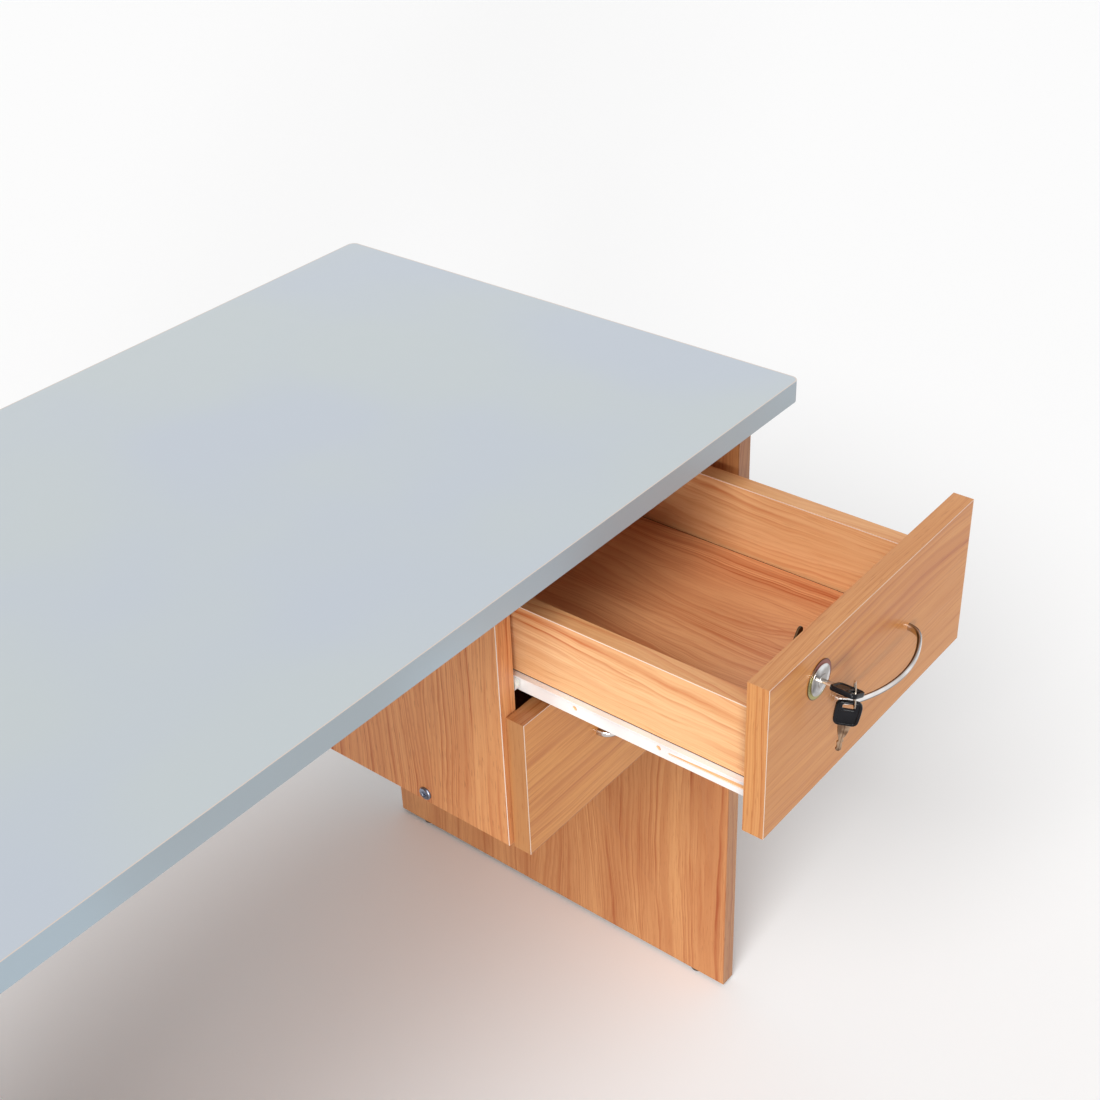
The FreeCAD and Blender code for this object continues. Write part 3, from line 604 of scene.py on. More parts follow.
def edge_mask(lines, faced=None):
    """A mask from lines of an axis, a test, its limit and a strength, on the sides that face a given axis."""
    def mask(w, position, normal):
        places = w.split(position)
        tests = [w.times(w.math(test, places[axis], limit), strength)
                 for axis, test, limit, strength in lines]
        while len(tests) > 1:
            tests.append(w.math("MAXIMUM", tests.pop(), tests.pop()))
        return w.times(tests[0], facing(w, normal, faced)) if faced else tests[0]
    return mask


def rail_contact_shadow(height, line, outward):
    """A mask for the painted shadow, a thin dark line just above a rail that stands against a drawer side's
    outer face.
    """
    def mask(w, position, normal):
        above = w.math("ABSOLUTE", w.minus(w.split(position)[2], height + line / 2))
        outer = w.math("GREATER_THAN", w.vector("DOT_PRODUCT", normal, outward), facing_outward)
        return w.times(w.math("LESS_THAN", above, line / 2), outer)
    return mask


# Other materials

# What metals and what moulded or painted surfaces share; names with a capital are the shader's own sockets
metal = {"spread": 0.12, "cloud_size": 0.012, "depth": 0.00001, "marks": 0.25, "Metallic": 1.0}
moulded = {"spread": 0.1, "cloud_size": 0.02, "depth": 0.00002, "marks": 0.12}
laminate = {**moulded, "roughness": 0.4, "fineness": 900.0, "cloud_size": 0.26, "depth": 0.00004}
# Each surface's roughness and its spread, its grains per metre, its clouds' size and its relief in metres
surfaces = {
    "worktop_laminate": laminate,
    "worktop_edge_band": {**laminate, "spread": 0.08, "depth": 0.00003, "marks": 0.0},
    "slide_enamel": {**moulded, "roughness": 0.34, "fineness": 1500.0, "cloud_size": 0.05,
                     "Coat Weight": 0.3, "Coat Roughness": 0.08},
    "roller_nylon": {**moulded, "roughness": 0.38, "fineness": 2400.0, "cloud_size": 0.01,
                     "Subsurface Weight": 0.15, "Subsurface Scale": 0.002},
    "dowel_wood": {**moulded, "roughness": 0.6, "fineness": 1600.0, "spread": 0.2, "cloud_size": 0.006,
                   "depth": 0.00008},
    "glide_plastic": {**moulded, "roughness": 0.45, "fineness": 1800.0},
    "key_plastic": {**moulded, "roughness": 0.24, "fineness": 2600.0, "depth": 0.00001,
                    "Specular IOR Level": 0.16},
    "zinc_plated_steel": {**metal, "roughness": 0.3, "fineness": 3000.0},
    "dark_bolt_steel": {**metal, "roughness": 0.34, "fineness": 2200.0, "cloud_size": 0.02},
    "cast_zinc": {**metal, "roughness": 0.46, "fineness": 2600.0, "depth": 0.00003},
    "handle_chrome": {**metal, "roughness": 0.11, "fineness": 1200.0, "spread": 0.05, "cloud_size": 0.03},
    "lock_chrome": {**metal, "roughness": 0.3, "fineness": 1800.0, "spread": 0.04, "depth": 0.000002},
    "lock_steel": {**metal, "roughness": 0.3, "fineness": 3000.0},
    "lock_bronze": {**metal, "roughness": 0.36, "fineness": 2200.0, "cloud_size": 0.006},
    "yellow_zinc_ring": {**metal, "roughness": 0.36, "fineness": 2600.0, "spread": 0.15},
    "key_nickel": {**metal, "roughness": 0.3, "fineness": 2400.0, "cloud_size": 0.008},
    "ring_nickel": {**metal, "roughness": 0.2, "fineness": 2400.0, "cloud_size": 0.006},
}
# Painted dark reflection on a handle: along the bar's upper and lower edge and on its feet's outer edge
dark_reflection_ways = (Y_AXIS + Z_AXIS, X_AXIS + Z_AXIS)
dark_reflection_ramp = (0.58, 0.86, 0.0, 0.95)
edge_rim_facing = (0.55, 0.7)
# The ring's passivation: how far it wanders, its slope to the right and upwards, and where it turns
wander_noise = (160.0, 2.0)
wander_reach = 0.012
russet_slope = (0.75, 0.0, 0.9)
russet_ramp = (-0.004, 0.008)
# Painted shade on the ring's rolled rim: where it starts and where it is full, as shares of the radius, and
# its strength
rim_shade_shares = (0.93, 0.985)
rim_shade_strength = 0.8


def surface_material(name, edge_at=None, second_at=None):
    """A surface from the tables, with masks for its edge colour and, without clouds, its second colour."""
    finish = bpy.context.scene.surface_finish
    ground, second, *edge = [getattr(finish, name + "_" + part)
                             for part, levels in zip(surface_parts, surface_tones[name])]
    look = surfaces[name]
    material, w, shader, position, normal = new_material(name)
    grain = w.group("Surface grain", {"Position": position, "Fineness": look["fineness"],
                                      "Roughness": look["roughness"], "Spread": look["spread"]})
    if second_at:
        tone = w.blend(second_at(w, position, normal), ground, second)
    else:
        film = w.group("Clouding", {"Position": position, "Ground": ground, "Cloud": second,
                                    "Size": look["cloud_size"]})
        tone = w.blend(w.times(grain["Marks"], look["marks"]), film["Color"], second)
    if edge_at:
        tone = w.blend(edge_at(w, position, normal), tone, edge[0])
    w.feed(shader["Base Color"], tone)
    w.feed(shader["Roughness"], grain["Roughness"])
    w.feed(shader["Normal"], relief(w, grain["Height"], look["depth"]))
    for socket, value in look.items():
        if socket in shader:
            shader[socket].default_value = value
    return material


def painted_dark_reflection(w, position, normal):
    """A mask for the painted dark reflection along a bent bar, from the bar's smooth normal."""
    smooth = w.add("ShaderNodeTexCoord").outputs["Normal"]
    along, outward = [w.vector("DOT_PRODUCT", smooth, way.normalized()) for way in dark_reflection_ways]
    return w.ramp(w.math("MAXIMUM", w.math("ABSOLUTE", along), outward), *dark_reflection_ramp)


def band_rim(w, position, normal):
    """A mask for the thin line where the worktop's band turns upwards."""
    return facing(w, normal, Z_AXIS, *edge_rim_facing)


def russet_side(w, position, normal):
    """A mask for the lock ring's russet part, towards its top and right."""
    low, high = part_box("lock_ring")
    offset = w.vector("SUBTRACT", position, (low + high) / 2)
    wander = w.times(w.minus(w.noise(position, *wander_noise), 0.5), wander_reach)
    return w.ramp(w.plus(w.vector("DOT_PRODUCT", offset, russet_slope), wander), *russet_ramp)


def painted_rim_shade(w, position, normal):
    """A mask for the painted shade along the lock ring's rolled rim."""
    low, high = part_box("lock_ring")
    start, end = [(high.x - low.x) / 2 * part for part in rim_shade_shares]
    x, y, z = w.split(w.vector("SUBTRACT", position, (low + high) / 2))
    radius = w.math("SQRT", w.plus(w.times(x, x), w.times(z, z)))
    return w.ramp(radius, start, end, 0.0, rim_shade_strength)


# Dressing the frame's own nodes

flat_angle = math.radians(1)
arris_angle = math.radians(40)
arris_segments = 2


def dress(names, material, rounding=0.0):
    """Gives frame nodes a material and rounds their arrises without touching the mesh."""
    for name in names:
        node = nodes[name]
        node.data.materials.clear()
        node.data.materials.append(material)
        if rounding:
            weld = node.modifiers.new("Weld", "WELD")
            weld.merge_threshold = tiny
            flat = node.modifiers.new("Flat faces", "DECIMATE")
            flat.decimate_type = "DISSOLVE"
            flat.angle_limit = flat_angle
            bevel = node.modifiers.new("Arris", "BEVEL")
            bevel.width = rounding
            bevel.segments = arris_segments
            bevel.limit_method = "ANGLE"
            bevel.angle_limit = arris_angle
            bevel.harden_normals = True


# Mesh tools

smooth_angle = math.radians(35)


def skin(bm, loops, closed=False):
    """Joins equal loops of points into a surface, closed on itself or capped at both ends."""
    rings = [[bm.verts.new(point) for point in loop] for loop in loops]
    pairs = list(zip(rings, rings[1:]))
    if closed:
        pairs.append((rings[-1], rings[0]))
    for first, second in pairs:
        for index in range(len(first)):
            after = (index + 1) % len(first)
            bm.faces.new((first[index], first[after], second[after], second[index]))
    if not closed:
        bm.faces.new(rings[0][::-1])
        bm.faces.new(rings[-1])


def circle_angles(steps):
    """Equal steps of a full turn."""
    return [full_turn * index / steps for index in range(steps)]


def along_axis(start, axis):
    """A frame at a start point whose Z runs along the axis."""
    return Matrix.Translation(start) @ axis.to_track_quat("Z", "Y").to_matrix().to_4x4()


def turned_profile(bm, place, profile, steps, closed=False):
    """Turns a list of (radius, height) or (radius, height, shape) about the place's Z axis."""
    loops = []
    for radius, height, *shape in profile:
        loop = []
        for turn in circle_angles(steps):
            reach = radius * (shape[0](turn) if shape else 1)
            loop.append(place @ Vector((reach * math.cos(turn), reach * math.sin(turn), height)))
        loops.append(loop)
    skin(bm, loops, closed)


def scaled(shares, radius, height, *shape):
    """A profile from shares of a radius and of a height, with a shape if one is given."""
    return [(radius * across, height * up, *shape) for across, up in shares]


def cross_shape(arm, width):
    """The reach of a cross with blunt arms at each angle, for a unit radius."""
    def reach(turn):
        c, s = abs(math.cos(turn)), abs(math.sin(turn))
        on_x = min(arm / max(c, tiny), width / max(s, tiny))
        on_y = min(arm / max(s, tiny), width / max(c, tiny))
        return max(on_x, on_y)
    return reach


def hexagon_shape(turn):
    """The reach of a hexagon with a unit distance to its flats."""
    sector = full_turn / 6
    return 1 / math.cos((turn % sector) - sector / 2)


def finish_piece(name, bm, material, body, replaced):
    """Makes the object, shades it, hangs it on its body's empty and hides the frame node that it stands for.
    """
    bmesh.ops.recalc_face_normals(bm, faces=bm.faces)
    mesh = bpy.data.meshes.new(name)
    bm.to_mesh(mesh)
    bm.free()
    mesh.shade_smooth()
    mesh.set_sharp_from_angle(angle=smooth_angle)
    mesh.materials.append(material)
    piece = bpy.data.objects.new(name, mesh)
    bpy.context.scene.collection.objects.link(piece)
    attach(piece, body)
    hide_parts(replaced)


def islands(node_name):
    """The points of each separate solid in a frame node."""
    bm = bmesh.new()
    bm.from_mesh(nodes[node_name].data)
    bmesh.ops.remove_doubles(bm, verts=bm.verts, dist=tiny)
    seen = set()
    found = []
    for vert in bm.verts:
        if vert in seen:
            continue
        seen.add(vert)
        waiting = [vert]
        points = []
        while waiting:
            current = waiting.pop()
            points.append(current.co.copy())
            for edge in current.link_edges:
                other = edge.other_vert(current)
                if other not in seen:
                    seen.add(other)
                    waiting.append(other)
        found.append(points)
    bm.free()
    return found


def corners_of(points):
    """The low and the high corner of the box round some points."""
    return [Vector([pick(point[i] for point in points) for i in range(3)]) for pick in (min, max)]


def bore_of(name):
    """The radius of the hole through a node of the lock, which is turned about Y."""
    low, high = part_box(name)
    centre = (low + high) / 2
    return min(math.hypot(v.co.x - centre.x, v.co.z - centre.z) for v in nodes[name].data.vertices)


# Screws and bolts

round_tolerance = 0.02
end_depth = 1e-5
head_step = 3e-5
cut_steps = {"screw": 32, "cam": 40, "bolt": 48, "roller": 56, "lock": 96}
recess_depth_shares = (0.8, 0.5)
recess_floor_share = 0.25
recess_rim_shares = (0.92, 0.12)
dome_share = 0.45
dome_shares = ((0.7, 0.05), (0.86, 0.35), (0.96, 0.75), (1.0, 1.2))
pitch_share = 0.75
root_share = 0.72
point_share = 0.3


def spindle(points):
    """A turned solid's thick end, the axis from it to the thin end, its two radii and their lengths."""
    low, high = corners_of(points)
    size = high - low
    middle = (low + high) / 2
    best = None
    for index, axis in enumerate((X_AXIS, Y_AXIS, Z_AXIS)):
        others = [size[i] for i in range(3) if i != index]
        if abs(others[0] - others[1]) < round_tolerance * max(others):
            if best is None or size[index] > size[best[0]]:
                best = (index, axis)
    index, axis = best
    reach = size[index] / 2

    def off_axis(spot):
        """How far a spot lies from the axis, and where along it."""
        along = spot.dot(axis)
        return (spot - axis * along).length, along

    def radius_at(end):
        """The radius of one end's face."""
        spots = [off_axis(point - middle) for point in points]
        return max(radius for radius, along in spots if abs(along - end) < end_depth)

    first_radius, last_radius = radius_at(-reach), radius_at(reach)
    if last_radius > first_radius:
        axis = -axis
    head_radius, shank_radius = max(first_radius, last_radius), min(first_radius, last_radius)
    start = middle - axis * reach
    spots = [off_axis(point - start) for point in points]
    head_height = max((along for radius, along in spots if radius > shank_radius + head_step), default=0.0)
    return start, axis, head_radius, head_height, shank_radius, 2 * reach


def driven_fastener(bm, start, axis, head_radius, head_height, shank_radius, reach, sizes):
    """A screw with a domed head, a cross recess and a rolled thread."""
    cross = cross_shape(sizes.recess_arm, sizes.recess_width)
    depth = min(head_height * recess_depth_shares[0], head_radius * recess_depth_shares[1])
    dome = head_height * dome_share
    profile = [(head_radius * recess_floor_share, depth, cross)]
    profile += scaled([recess_rim_shares], head_radius, dome, cross)
    profile += scaled(dome_shares, head_radius, dome)
    profile += [(head_radius, head_height), (shank_radius, head_height)]
    pitch = shank_radius * pitch_share
    for turn in range(int((reach - head_height) / pitch) - 1):
        height = head_height + pitch * (turn + 0.5)
        profile += [(shank_radius * root_share, height), (shank_radius, height + pitch / 2)]
    profile.append((shank_radius * point_share, reach))
    turned_profile(bm, along_axis(start, axis), profile, cut_steps["screw"])


# Handles

foot_plateau = 1.5
bow_steps = 44
strap_steps = 28
strap_squareness = (0.72, 0.92)


def bow_line(half_span, depth, end_radius):
    """Points, directions and distances to the foot along a three-centred bow, from left to right."""
    offset = half_span - end_radius
    main_radius = (offset ** 2 + depth ** 2 - end_radius ** 2) / (2 * (depth - end_radius))
    turn = math.atan2(main_radius - depth, offset)
    main_length = main_radius * (math.pi / 2 - turn)
    whole = end_radius * turn + main_length
    line = []
    for index in range(2 * bow_steps + 1):
        walked = (index / bow_steps - 1) * whole
        side = -1 if walked < 0 else 1
        from_crown = abs(walked)
        if from_crown < main_length:
            bend = math.pi / 2 - from_crown / main_radius
            x = main_radius * math.cos(bend)
            y = main_radius - depth - main_radius * math.sin(bend)
        else:
            bend = turn - (from_crown - main_length) / end_radius
            x = offset + end_radius * math.cos(bend)
            y = -end_radius * math.sin(bend)
        outward = Vector((side * math.cos(bend), -math.sin(bend), 0))
        line.append((Vector((side * x, y, 0)), outward, whole - from_crown))
    return line


def build_handle(level, material, sizes):
    """A polished strap bow whose ends flare upright into thin feet."""
    node_name = level + "_handle"
    low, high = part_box(node_name)
    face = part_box(level + "_drawer_front")[0].y
    middle = Vector(((low.x + high.x) / 2, face, (low.z + high.z) / 2))
    foot_radius = (high.z - low.z) / 2
    half_span = (high.x - low.x) / 2 - foot_radius
    depth = face - low.y - sizes.strap_half_thickness
    loops = []
    for centre, outward, to_foot in bow_line(half_span, depth, sizes.end_radius):
        flare = min(1.0, max(0.0, 1 - to_foot / sizes.foot_reach) * foot_plateau)
        flare = flare * flare * (3 - 2 * flare)
        half_height, half_thickness = (
            strap + (foot - strap) * flare
            for strap, foot in ((sizes.strap_half_height, sizes.foot_half_height),
                                (sizes.strap_half_thickness, sizes.foot_half_thickness)))
        loop = []
        for turn in circle_angles(strap_steps):
            c, s = math.cos(turn), math.sin(turn)
            out = half_thickness * math.copysign(abs(c) ** strap_squareness[0], c)
            up = half_height * math.copysign(abs(s) ** strap_squareness[1], s)
            loop.append(middle + centre + outward * out + Z_AXIS * up)
        loops.append(loop)
    bm = bmesh.new()
    skin(bm, loops)
    finish_piece(node_name + "_bow", bm, material, level + "_drawer", node_name)


# Keys

# The border's loops: shares of the border and of the bevel that they are set in, and of the bevel below
border_shares = ((0, 0, 1), (0, 0.3, 0.3), (0, 1, 0), (1, 0, 0), (1, 0.3, 0.18))
panel_inset_share = 0.6
# The slot's loops: shares of the bevel that they are set out, and below the panel
slot_shares = ((0.8, 0), (0.2, 0.3), (0, 1))
# The ledge in shares of the bevel: how far it lies below the slot, and its loops' inset and depth
ledge_drop_share = 1.2
ledge_loop_shares = {"root": (0, 0.2), "edge": (0, 0.5), "top": (0.3, 0.2)}
# Along the spare blade: the ends of its broad and wide parts, its cuts and their depths, and its point
blade_part_shares = (0.05, 0.26, 0.44)
cut_shares = ((0.51, 0.5), (0.6, 1.0), (0.69, 0.3), (0.78, 0.8), (0.87, 0.9))
cut_half_share = 0.02
cut_pair_share = 1.3
point_shares = ((0.94, 0.86, 0.8), (0.985, 0.55, 0.5), (1.0, 0.25, 0.2))
# The blade's section: its rounding, the most that the groove takes of a narrow part, the groove's slopes
blade_soft_share = 0.3
groove_most_shares = (0.6, 0.2)
groove_slope_shares = (0.8, 1.6)


def key_head_length():
    """The length of a key's head, from its neck to its far end."""
    low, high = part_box("lock_key_head")
    return high.y - low.y


def rounded_outline(half_low, half_high, bottom, top, corner, per_corner=8, side_steps=6):
    """A trapezium with round corners, anticlockwise from its low left, as (x, z) pairs."""
    corners = [Vector((-half_low, bottom)), Vector((half_low, bottom)), Vector((half_high, top)),
               Vector((-half_high, top))]

    def round_off(index):
        """A corner, its two directions, how far its rounding reaches along them, and half its angle."""
        here = corners[index % 4]
        arrive = (corners[(index - 1) % 4] - here).normalized()
        leave = (corners[(index + 1) % 4] - here).normalized()
        half_turn = arrive.angle(leave) / 2
        return here, arrive, leave, corner / math.tan(half_turn), half_turn

    points = []
    for index in range(4):
        here, arrive, leave, back, half_turn = round_off(index)
        centre = here + (arrive + leave).normalized() * (corner / math.sin(half_turn))
        first = here + arrive * back - centre
        start_turn = math.atan2(first.y, first.x)
        for step in range(per_corner + 1):
            turn = start_turn + (math.pi - 2 * half_turn) * step / per_corner
            points.append((centre.x + corner * math.cos(turn), centre.y + corner * math.sin(turn)))
        following, towards, _, next_back, _ = round_off(index + 1)
        start = here + leave * back
        end = following + towards * next_back
        for step in range(1, side_steps):
            spot = start + (end - start) * (step / side_steps)
            points.append((spot.x, spot.y))
    return points


def key_head_mesh(bm, place, key):
    """A moulded key head with a raised border, a sunk panel, a ledge and an oblong slot."""
    half = key.thickness / 2
    whole = key_head_length()
    slot_top = whole - key.slot_bar
    slot_bottom = slot_top - key.slot_height
    panel = half - key.recess

    def outline(inset):
        """The head's outline, set in by a distance."""
        top = whole - min(inset, key.slot_bar * key.bar_border)
        shape = rounded_outline(key.neck_width / 2 - inset, key.width / 2 - inset, inset, top,
                                max(key.corner - inset, key.least_corner))
        return [(x * (1 - key.bulge * (2 * z / whole - 1) ** 2), z) for x, z in shape]

    def slot_outline(grow):
        """The slot's outline, set out by a distance."""
        reach = key.slot_width / 2 + grow
        return rounded_outline(reach, reach, slot_bottom - grow, slot_top + grow, key.slot_corner + grow)

    front = [(outline(key.border * border_part + key.bevel * inset_part), half - key.bevel * drop_part)
             for border_part, inset_part, drop_part in border_shares]
    front.append((outline(key.border + key.bevel * panel_inset_share), panel))
    front += [(slot_outline(key.bevel * grow_part), panel - key.bevel * drop_part)
              for grow_part, drop_part in slot_shares]
    loops = [[place @ Vector((x, -height, z)) for x, z in shape] for shape, height in front]
    loops += [[place @ Vector((x, height, z)) for x, z in shape] for shape, height in reversed(front)]
    skin(bm, loops, closed=True)
    ledge_top = slot_bottom - key.bevel * ledge_drop_share
    for side in (-1, 1):
        ledge = []
        for name, (inset_part, drop_part) in ledge_loop_shares.items():
            inset = key.bevel * inset_part
            height = (panel if name == "root" else half) - key.bevel * drop_part
            reach = key.ledge_width / 2 - inset
            shape = rounded_outline(reach, reach, ledge_top - key.ledge_height + inset, ledge_top - inset,
                                    key.ledge_height / 2 - inset - tiny, per_corner=4, side_steps=2)
            ledge.append([place @ Vector((x, side * height, z)) for x, z in shape])
        skin(bm, ledge)


def key_blade_mesh(bm, place, key, reach, cuts):
    """A milled blade from inside the head to its tip, with a groove on each face."""
    half = key.blade_thickness / 2
    soft = half * blade_soft_share
    broad, wide, tip = key.shoulder_width / 2, key.blade_width / 2, key.tip_width / 2
    if cuts:
        widths = zip(blade_part_shares, (broad, wide, tip))
        stations = [(key.shoulder, broad, broad)]
        stations += [(-reach * part, width, width) for part, width in widths]
        for at_share, deep_share in cut_shares:
            left, right = (tip - key.cut * deep for deep in (deep_share, cut_pair_share - deep_share))
            stations += [(-reach * (at_share + side * cut_half_share), left, right) for side in (-1, 1)]
        stations += [(-reach * part, tip * left, tip * right) for part, left, right in point_shares]
    else:
        stations = [(key.shoulder, wide, wide), (-reach, wide, wide)]
    loops = []
    for height, left, right in stations:
        narrow = min(left, right)
        g_out = min(key.groove_reach, narrow * groove_most_shares[0])
        g_in = min(key.groove_back, narrow * groove_most_shares[1])
        g_out_low, g_in_high = g_out * groove_slope_shares[0], g_in * groove_slope_shares[1]
        sunk = -half + key.groove_depth
        loop = []
        for sign, here, there in ((1, left, right), (-1, right, left)):
            side = [(-here + soft, -half), (-g_out, -half), (-g_out_low, sunk), (g_in, sunk),
                    (g_in_high, -half), (there - soft, -half), (there, -half + soft), (there, half - soft)]
            loop += [place @ Vector((sign * x, sign * y, height)) for x, y in side]
        loops.append(loop)
    skin(bm, loops)


# Operators

floor_grain = 140.0
floor_grain_ramp = (0.3, 0.7, 0.0, 0.03)
floor_grain_grey = (0.6, 0.6, 0.6)
floor_roughness = 0.9
floor_specular = 0.1
white = (1, 1, 1)


class TABLE_OT_studio(bpy.types.Operator):
    """Sets up the camera, the floor, the white surround and the soft lamps"""
    bl_idname = "table.studio"
    bl_label = "Studio"

    def execute(self, context):
        studio = context.scene.studio
        self.make_camera(context, studio)
        self.make_floor(context, studio)
        self.make_surround(context, studio)
        self.make_lamps(context, studio)
        context.scene.view_settings.view_transform = "Standard"
        return {"FINISHED"}

    def make_camera(self, context, studio):
        """A camera that stands and looks as the photo's did."""
        data = bpy.data.cameras.new("camera")
        data.lens = studio.lens
        data.shift_x = studio.shift_right
        data.shift_y = studio.shift_up
        camera = bpy.data.objects.new("camera", data)
        context.scene.collection.objects.link(camera)
        look = Vector((math.sin(studio.heading) * math.cos(studio.dip),
                       math.cos(studio.heading) * math.cos(studio.dip), -math.sin(studio.dip)))
        turn = look.to_track_quat("-Z", "Y") @ Quaternion(Z_AXIS, studio.roll)
        camera.matrix_world = Matrix.Translation(Vector(studio.camera_place)) @ turn.to_matrix().to_4x4()
        context.scene.camera = camera

    def make_floor(self, context, studio):
        """A floor that looks near white and sends less light up to the table."""
        bm = bmesh.new()
        bmesh.ops.create_grid(bm, x_segments=1, y_segments=1, size=studio.floor_size)
        mesh = bpy.data.meshes.new("floor")
        bm.to_mesh(mesh)
        bm.free()
        floor = bpy.data.objects.new("floor", mesh)
        context.scene.collection.objects.link(floor)
        material, w, shader, position, normal = new_material("studio_floor")
        path = w.add("ShaderNodeLightPath").outputs
        grain = w.ramp(w.noise(position, floor_grain, 3.0), *floor_grain_ramp)
        tone = w.blend(grain, studio.floor, floor_grain_grey)
        seen = w.plus(path["Is Camera Ray"], path["Is Glossy Ray"], clamp=True)
        w.feed(shader["Base Color"], w.blend(seen, tone, (studio.floor_seen,) * 3))
        shader["Roughness"].default_value = floor_roughness
        shader["Specular IOR Level"].default_value = floor_specular
        mesh.materials.append(material)

    def make_surround(self, context, studio):
        """A surround that is white to look at and in reflections, and lights the table evenly."""
        world = bpy.data.worlds.new("studio")
        world.use_nodes = True
        world.node_tree.nodes.clear()
        w = Writer(world.node_tree)
        path = w.add("ShaderNodeLightPath").outputs
        mirrored = w.plus(path["Is Glossy Ray"], path["Is Transmission Ray"])
        seen = w.plus(path["Is Camera Ray"], mirrored, clamp=True)
        even, full = [w.add("ShaderNodeBackground", {"Color": white, "Strength": strength}).outputs[0]
                      for strength in (studio.ambient, 1.0)]
        mixed = w.add("ShaderNodeMixShader", {0: seen, 1: even, 2: full})
        w.add("ShaderNodeOutputWorld", {"Surface": mixed.outputs[0]})
        context.scene.world = world

    def make_lamps(self, context, studio):
        """A high lamp on the left and a low one in front."""
        for name in ("high", "low"):
            lamp = bpy.data.lights.new(name + "_lamp", "SUN")
            lamp.energy = getattr(studio, name + "_power")
            lamp.angle = getattr(studio, name + "_spread")
            holder = bpy.data.objects.new(name + "_lamp", lamp)
            holder.rotation_euler = Vector(getattr(studio, name + "_side")).to_track_quat("Z", "Y").to_euler()
            context.scene.collection.objects.link(holder)


class TABLE_OT_worktop(bpy.types.Operator):
    """Lays the grey laminate on the worktop and its edge band"""
    bl_idname = "table.worktop"
    bl_label = "Worktop"

    def execute(self, context):
        dress(["tabletop"], surface_material("worktop_laminate"))
        dress(["tabletop_edge_band"], surface_material("worktop_edge_band", band_rim))
        return {"FINISHED"}


class TABLE_OT_carcass(bpy.types.Operator):
    """Lays the beech laminate on the legs, modesty panel, pedestal and their edge bands"""
    bl_idname = "table.carcass"
    bl_label = "Carcass"

    def execute(self, context):
        finish = context.scene.beech_finish
        # The legs take the darker leg tones as painted shade, and the pedestal the lighter ones as painted
        # light.
        boards = {"left_leg_panel": ("leg", Z_AXIS), "right_leg_panel": ("leg", Z_AXIS),
                  "pedestal_side": ("carcass", Z_AXIS), "modesty_panel": ("leg", X_AXIS),
                  "pedestal_bottom": ("leg", X_AXIS)}
        for name, (kind, grain) in boards.items():
            dress([name], beech_material(name, kind, grain), finish.rounding)
        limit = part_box("right_leg_panel")[0].x - finish.band
        # A pale rim on the bands' sides left of the right leg, partly the band's core and partly painted
        # highlight.
        pale = edge_mask([(0, "LESS_THAN", limit, 1)], X_AXIS)
        # The right leg's band is darkened with the gap colour as painted shade.
        plain = edge_mask([(0, "GREATER_THAN", limit, rim_highlight_and_shade_shares["leg"])])
        band = beech_material("carcass_bands", "carcass", Z_AXIS, pale, carcass_band_axes, plain)
        dress(["carcass_edge_bands"], band)
        return {"FINISHED"}


class TABLE_OT_drawers(bpy.types.Operator):
    """Lays the beech laminate on the drawer boxes and fronts"""
    bl_idname = "table.drawers"
    bl_label = "Drawers"

    def execute(self, context):
        finish = context.scene.beech_finish
        boards = (("drawer_left_side", Y_AXIS, -X_AXIS), ("drawer_right_side", Y_AXIS, X_AXIS),
                  ("drawer_back", X_AXIS, None))
        for level in drawer_levels:
            rail_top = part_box(level + "_drawer_rail_left")[1].z
            for part, grain, outward in boards:
                name = level + "_" + part
                # A pale line along the top of each side, partly the band's core and partly painted highlight.
                top_line = (2, "GREATER_THAN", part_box(name)[1].z - finish.band, rim_highlight_and_shade_shares["box"])
                rim = edge_mask([top_line], X_AXIS)
                # A painted contact shadow above the drawer side's rail.
                rail_shadow = rail_contact_shadow(rail_top, finish.shadow_line_height, outward) if outward else None
                dress([name], beech_material(name, "box", grain, rim, gap_and_shade_mask=rail_shadow), finish.rounding)
            name = level + "_drawer_floor"
            low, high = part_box(name)
            gaps = edge_mask([(0, "LESS_THAN", low.x + finish.gap_width, 1),
                              (0, "GREATER_THAN", high.x - finish.gap_width, 1)], Z_AXIS)
            dress([name], beech_material(name, "floor", Y_AXIS, gap_and_shade_mask=gaps))
            name = level + "_drawer_front"
            dress([name], beech_material(name, "front", X_AXIS))
            name = level + "_front_edge_band"
            low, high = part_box(name)
            # The pale line round each front is partly the band's core and partly painted highlight: full on
            # the left, weaker on the right and top, none along the bottom where shade falls.
            rim = edge_mask([(0, "LESS_THAN", low.x + finish.rim_line, 1),
                             (0, "GREATER_THAN", high.x - finish.rim_line, rim_highlight_and_shade_shares["right"]),
                             (2, "GREATER_THAN", high.z - finish.rim_line, rim_highlight_and_shade_shares["top"])], Y_AXIS)
            # The upper band's tones are painted lighter as painted light, the lower one's darker as painted
            # shade.
            dress([name], beech_material(name, "band", X_AXIS, rim, front_band_axes,
                                         painted_light_share=band_painted_light_shares[level]))
        return {"FINISHED"}


# Rollers: their edge and hub in shares of the radius, how far they are sunk in shares of the width
roller_shares = {"edge": 0.12, "hub": 0.52, "sink": 0.12}
# Its slopes in shares of its edge and of its sink, and the rounding of its tread in shares of its edge
hub_slope_shares = ((0, 0), (0.5, 0.4), (1, 1))
tread_slope_shares = ((3, 1), (2, 0.3), (1, 0))
tread_round_shares = ((0.3, 0.3), (0, 1))


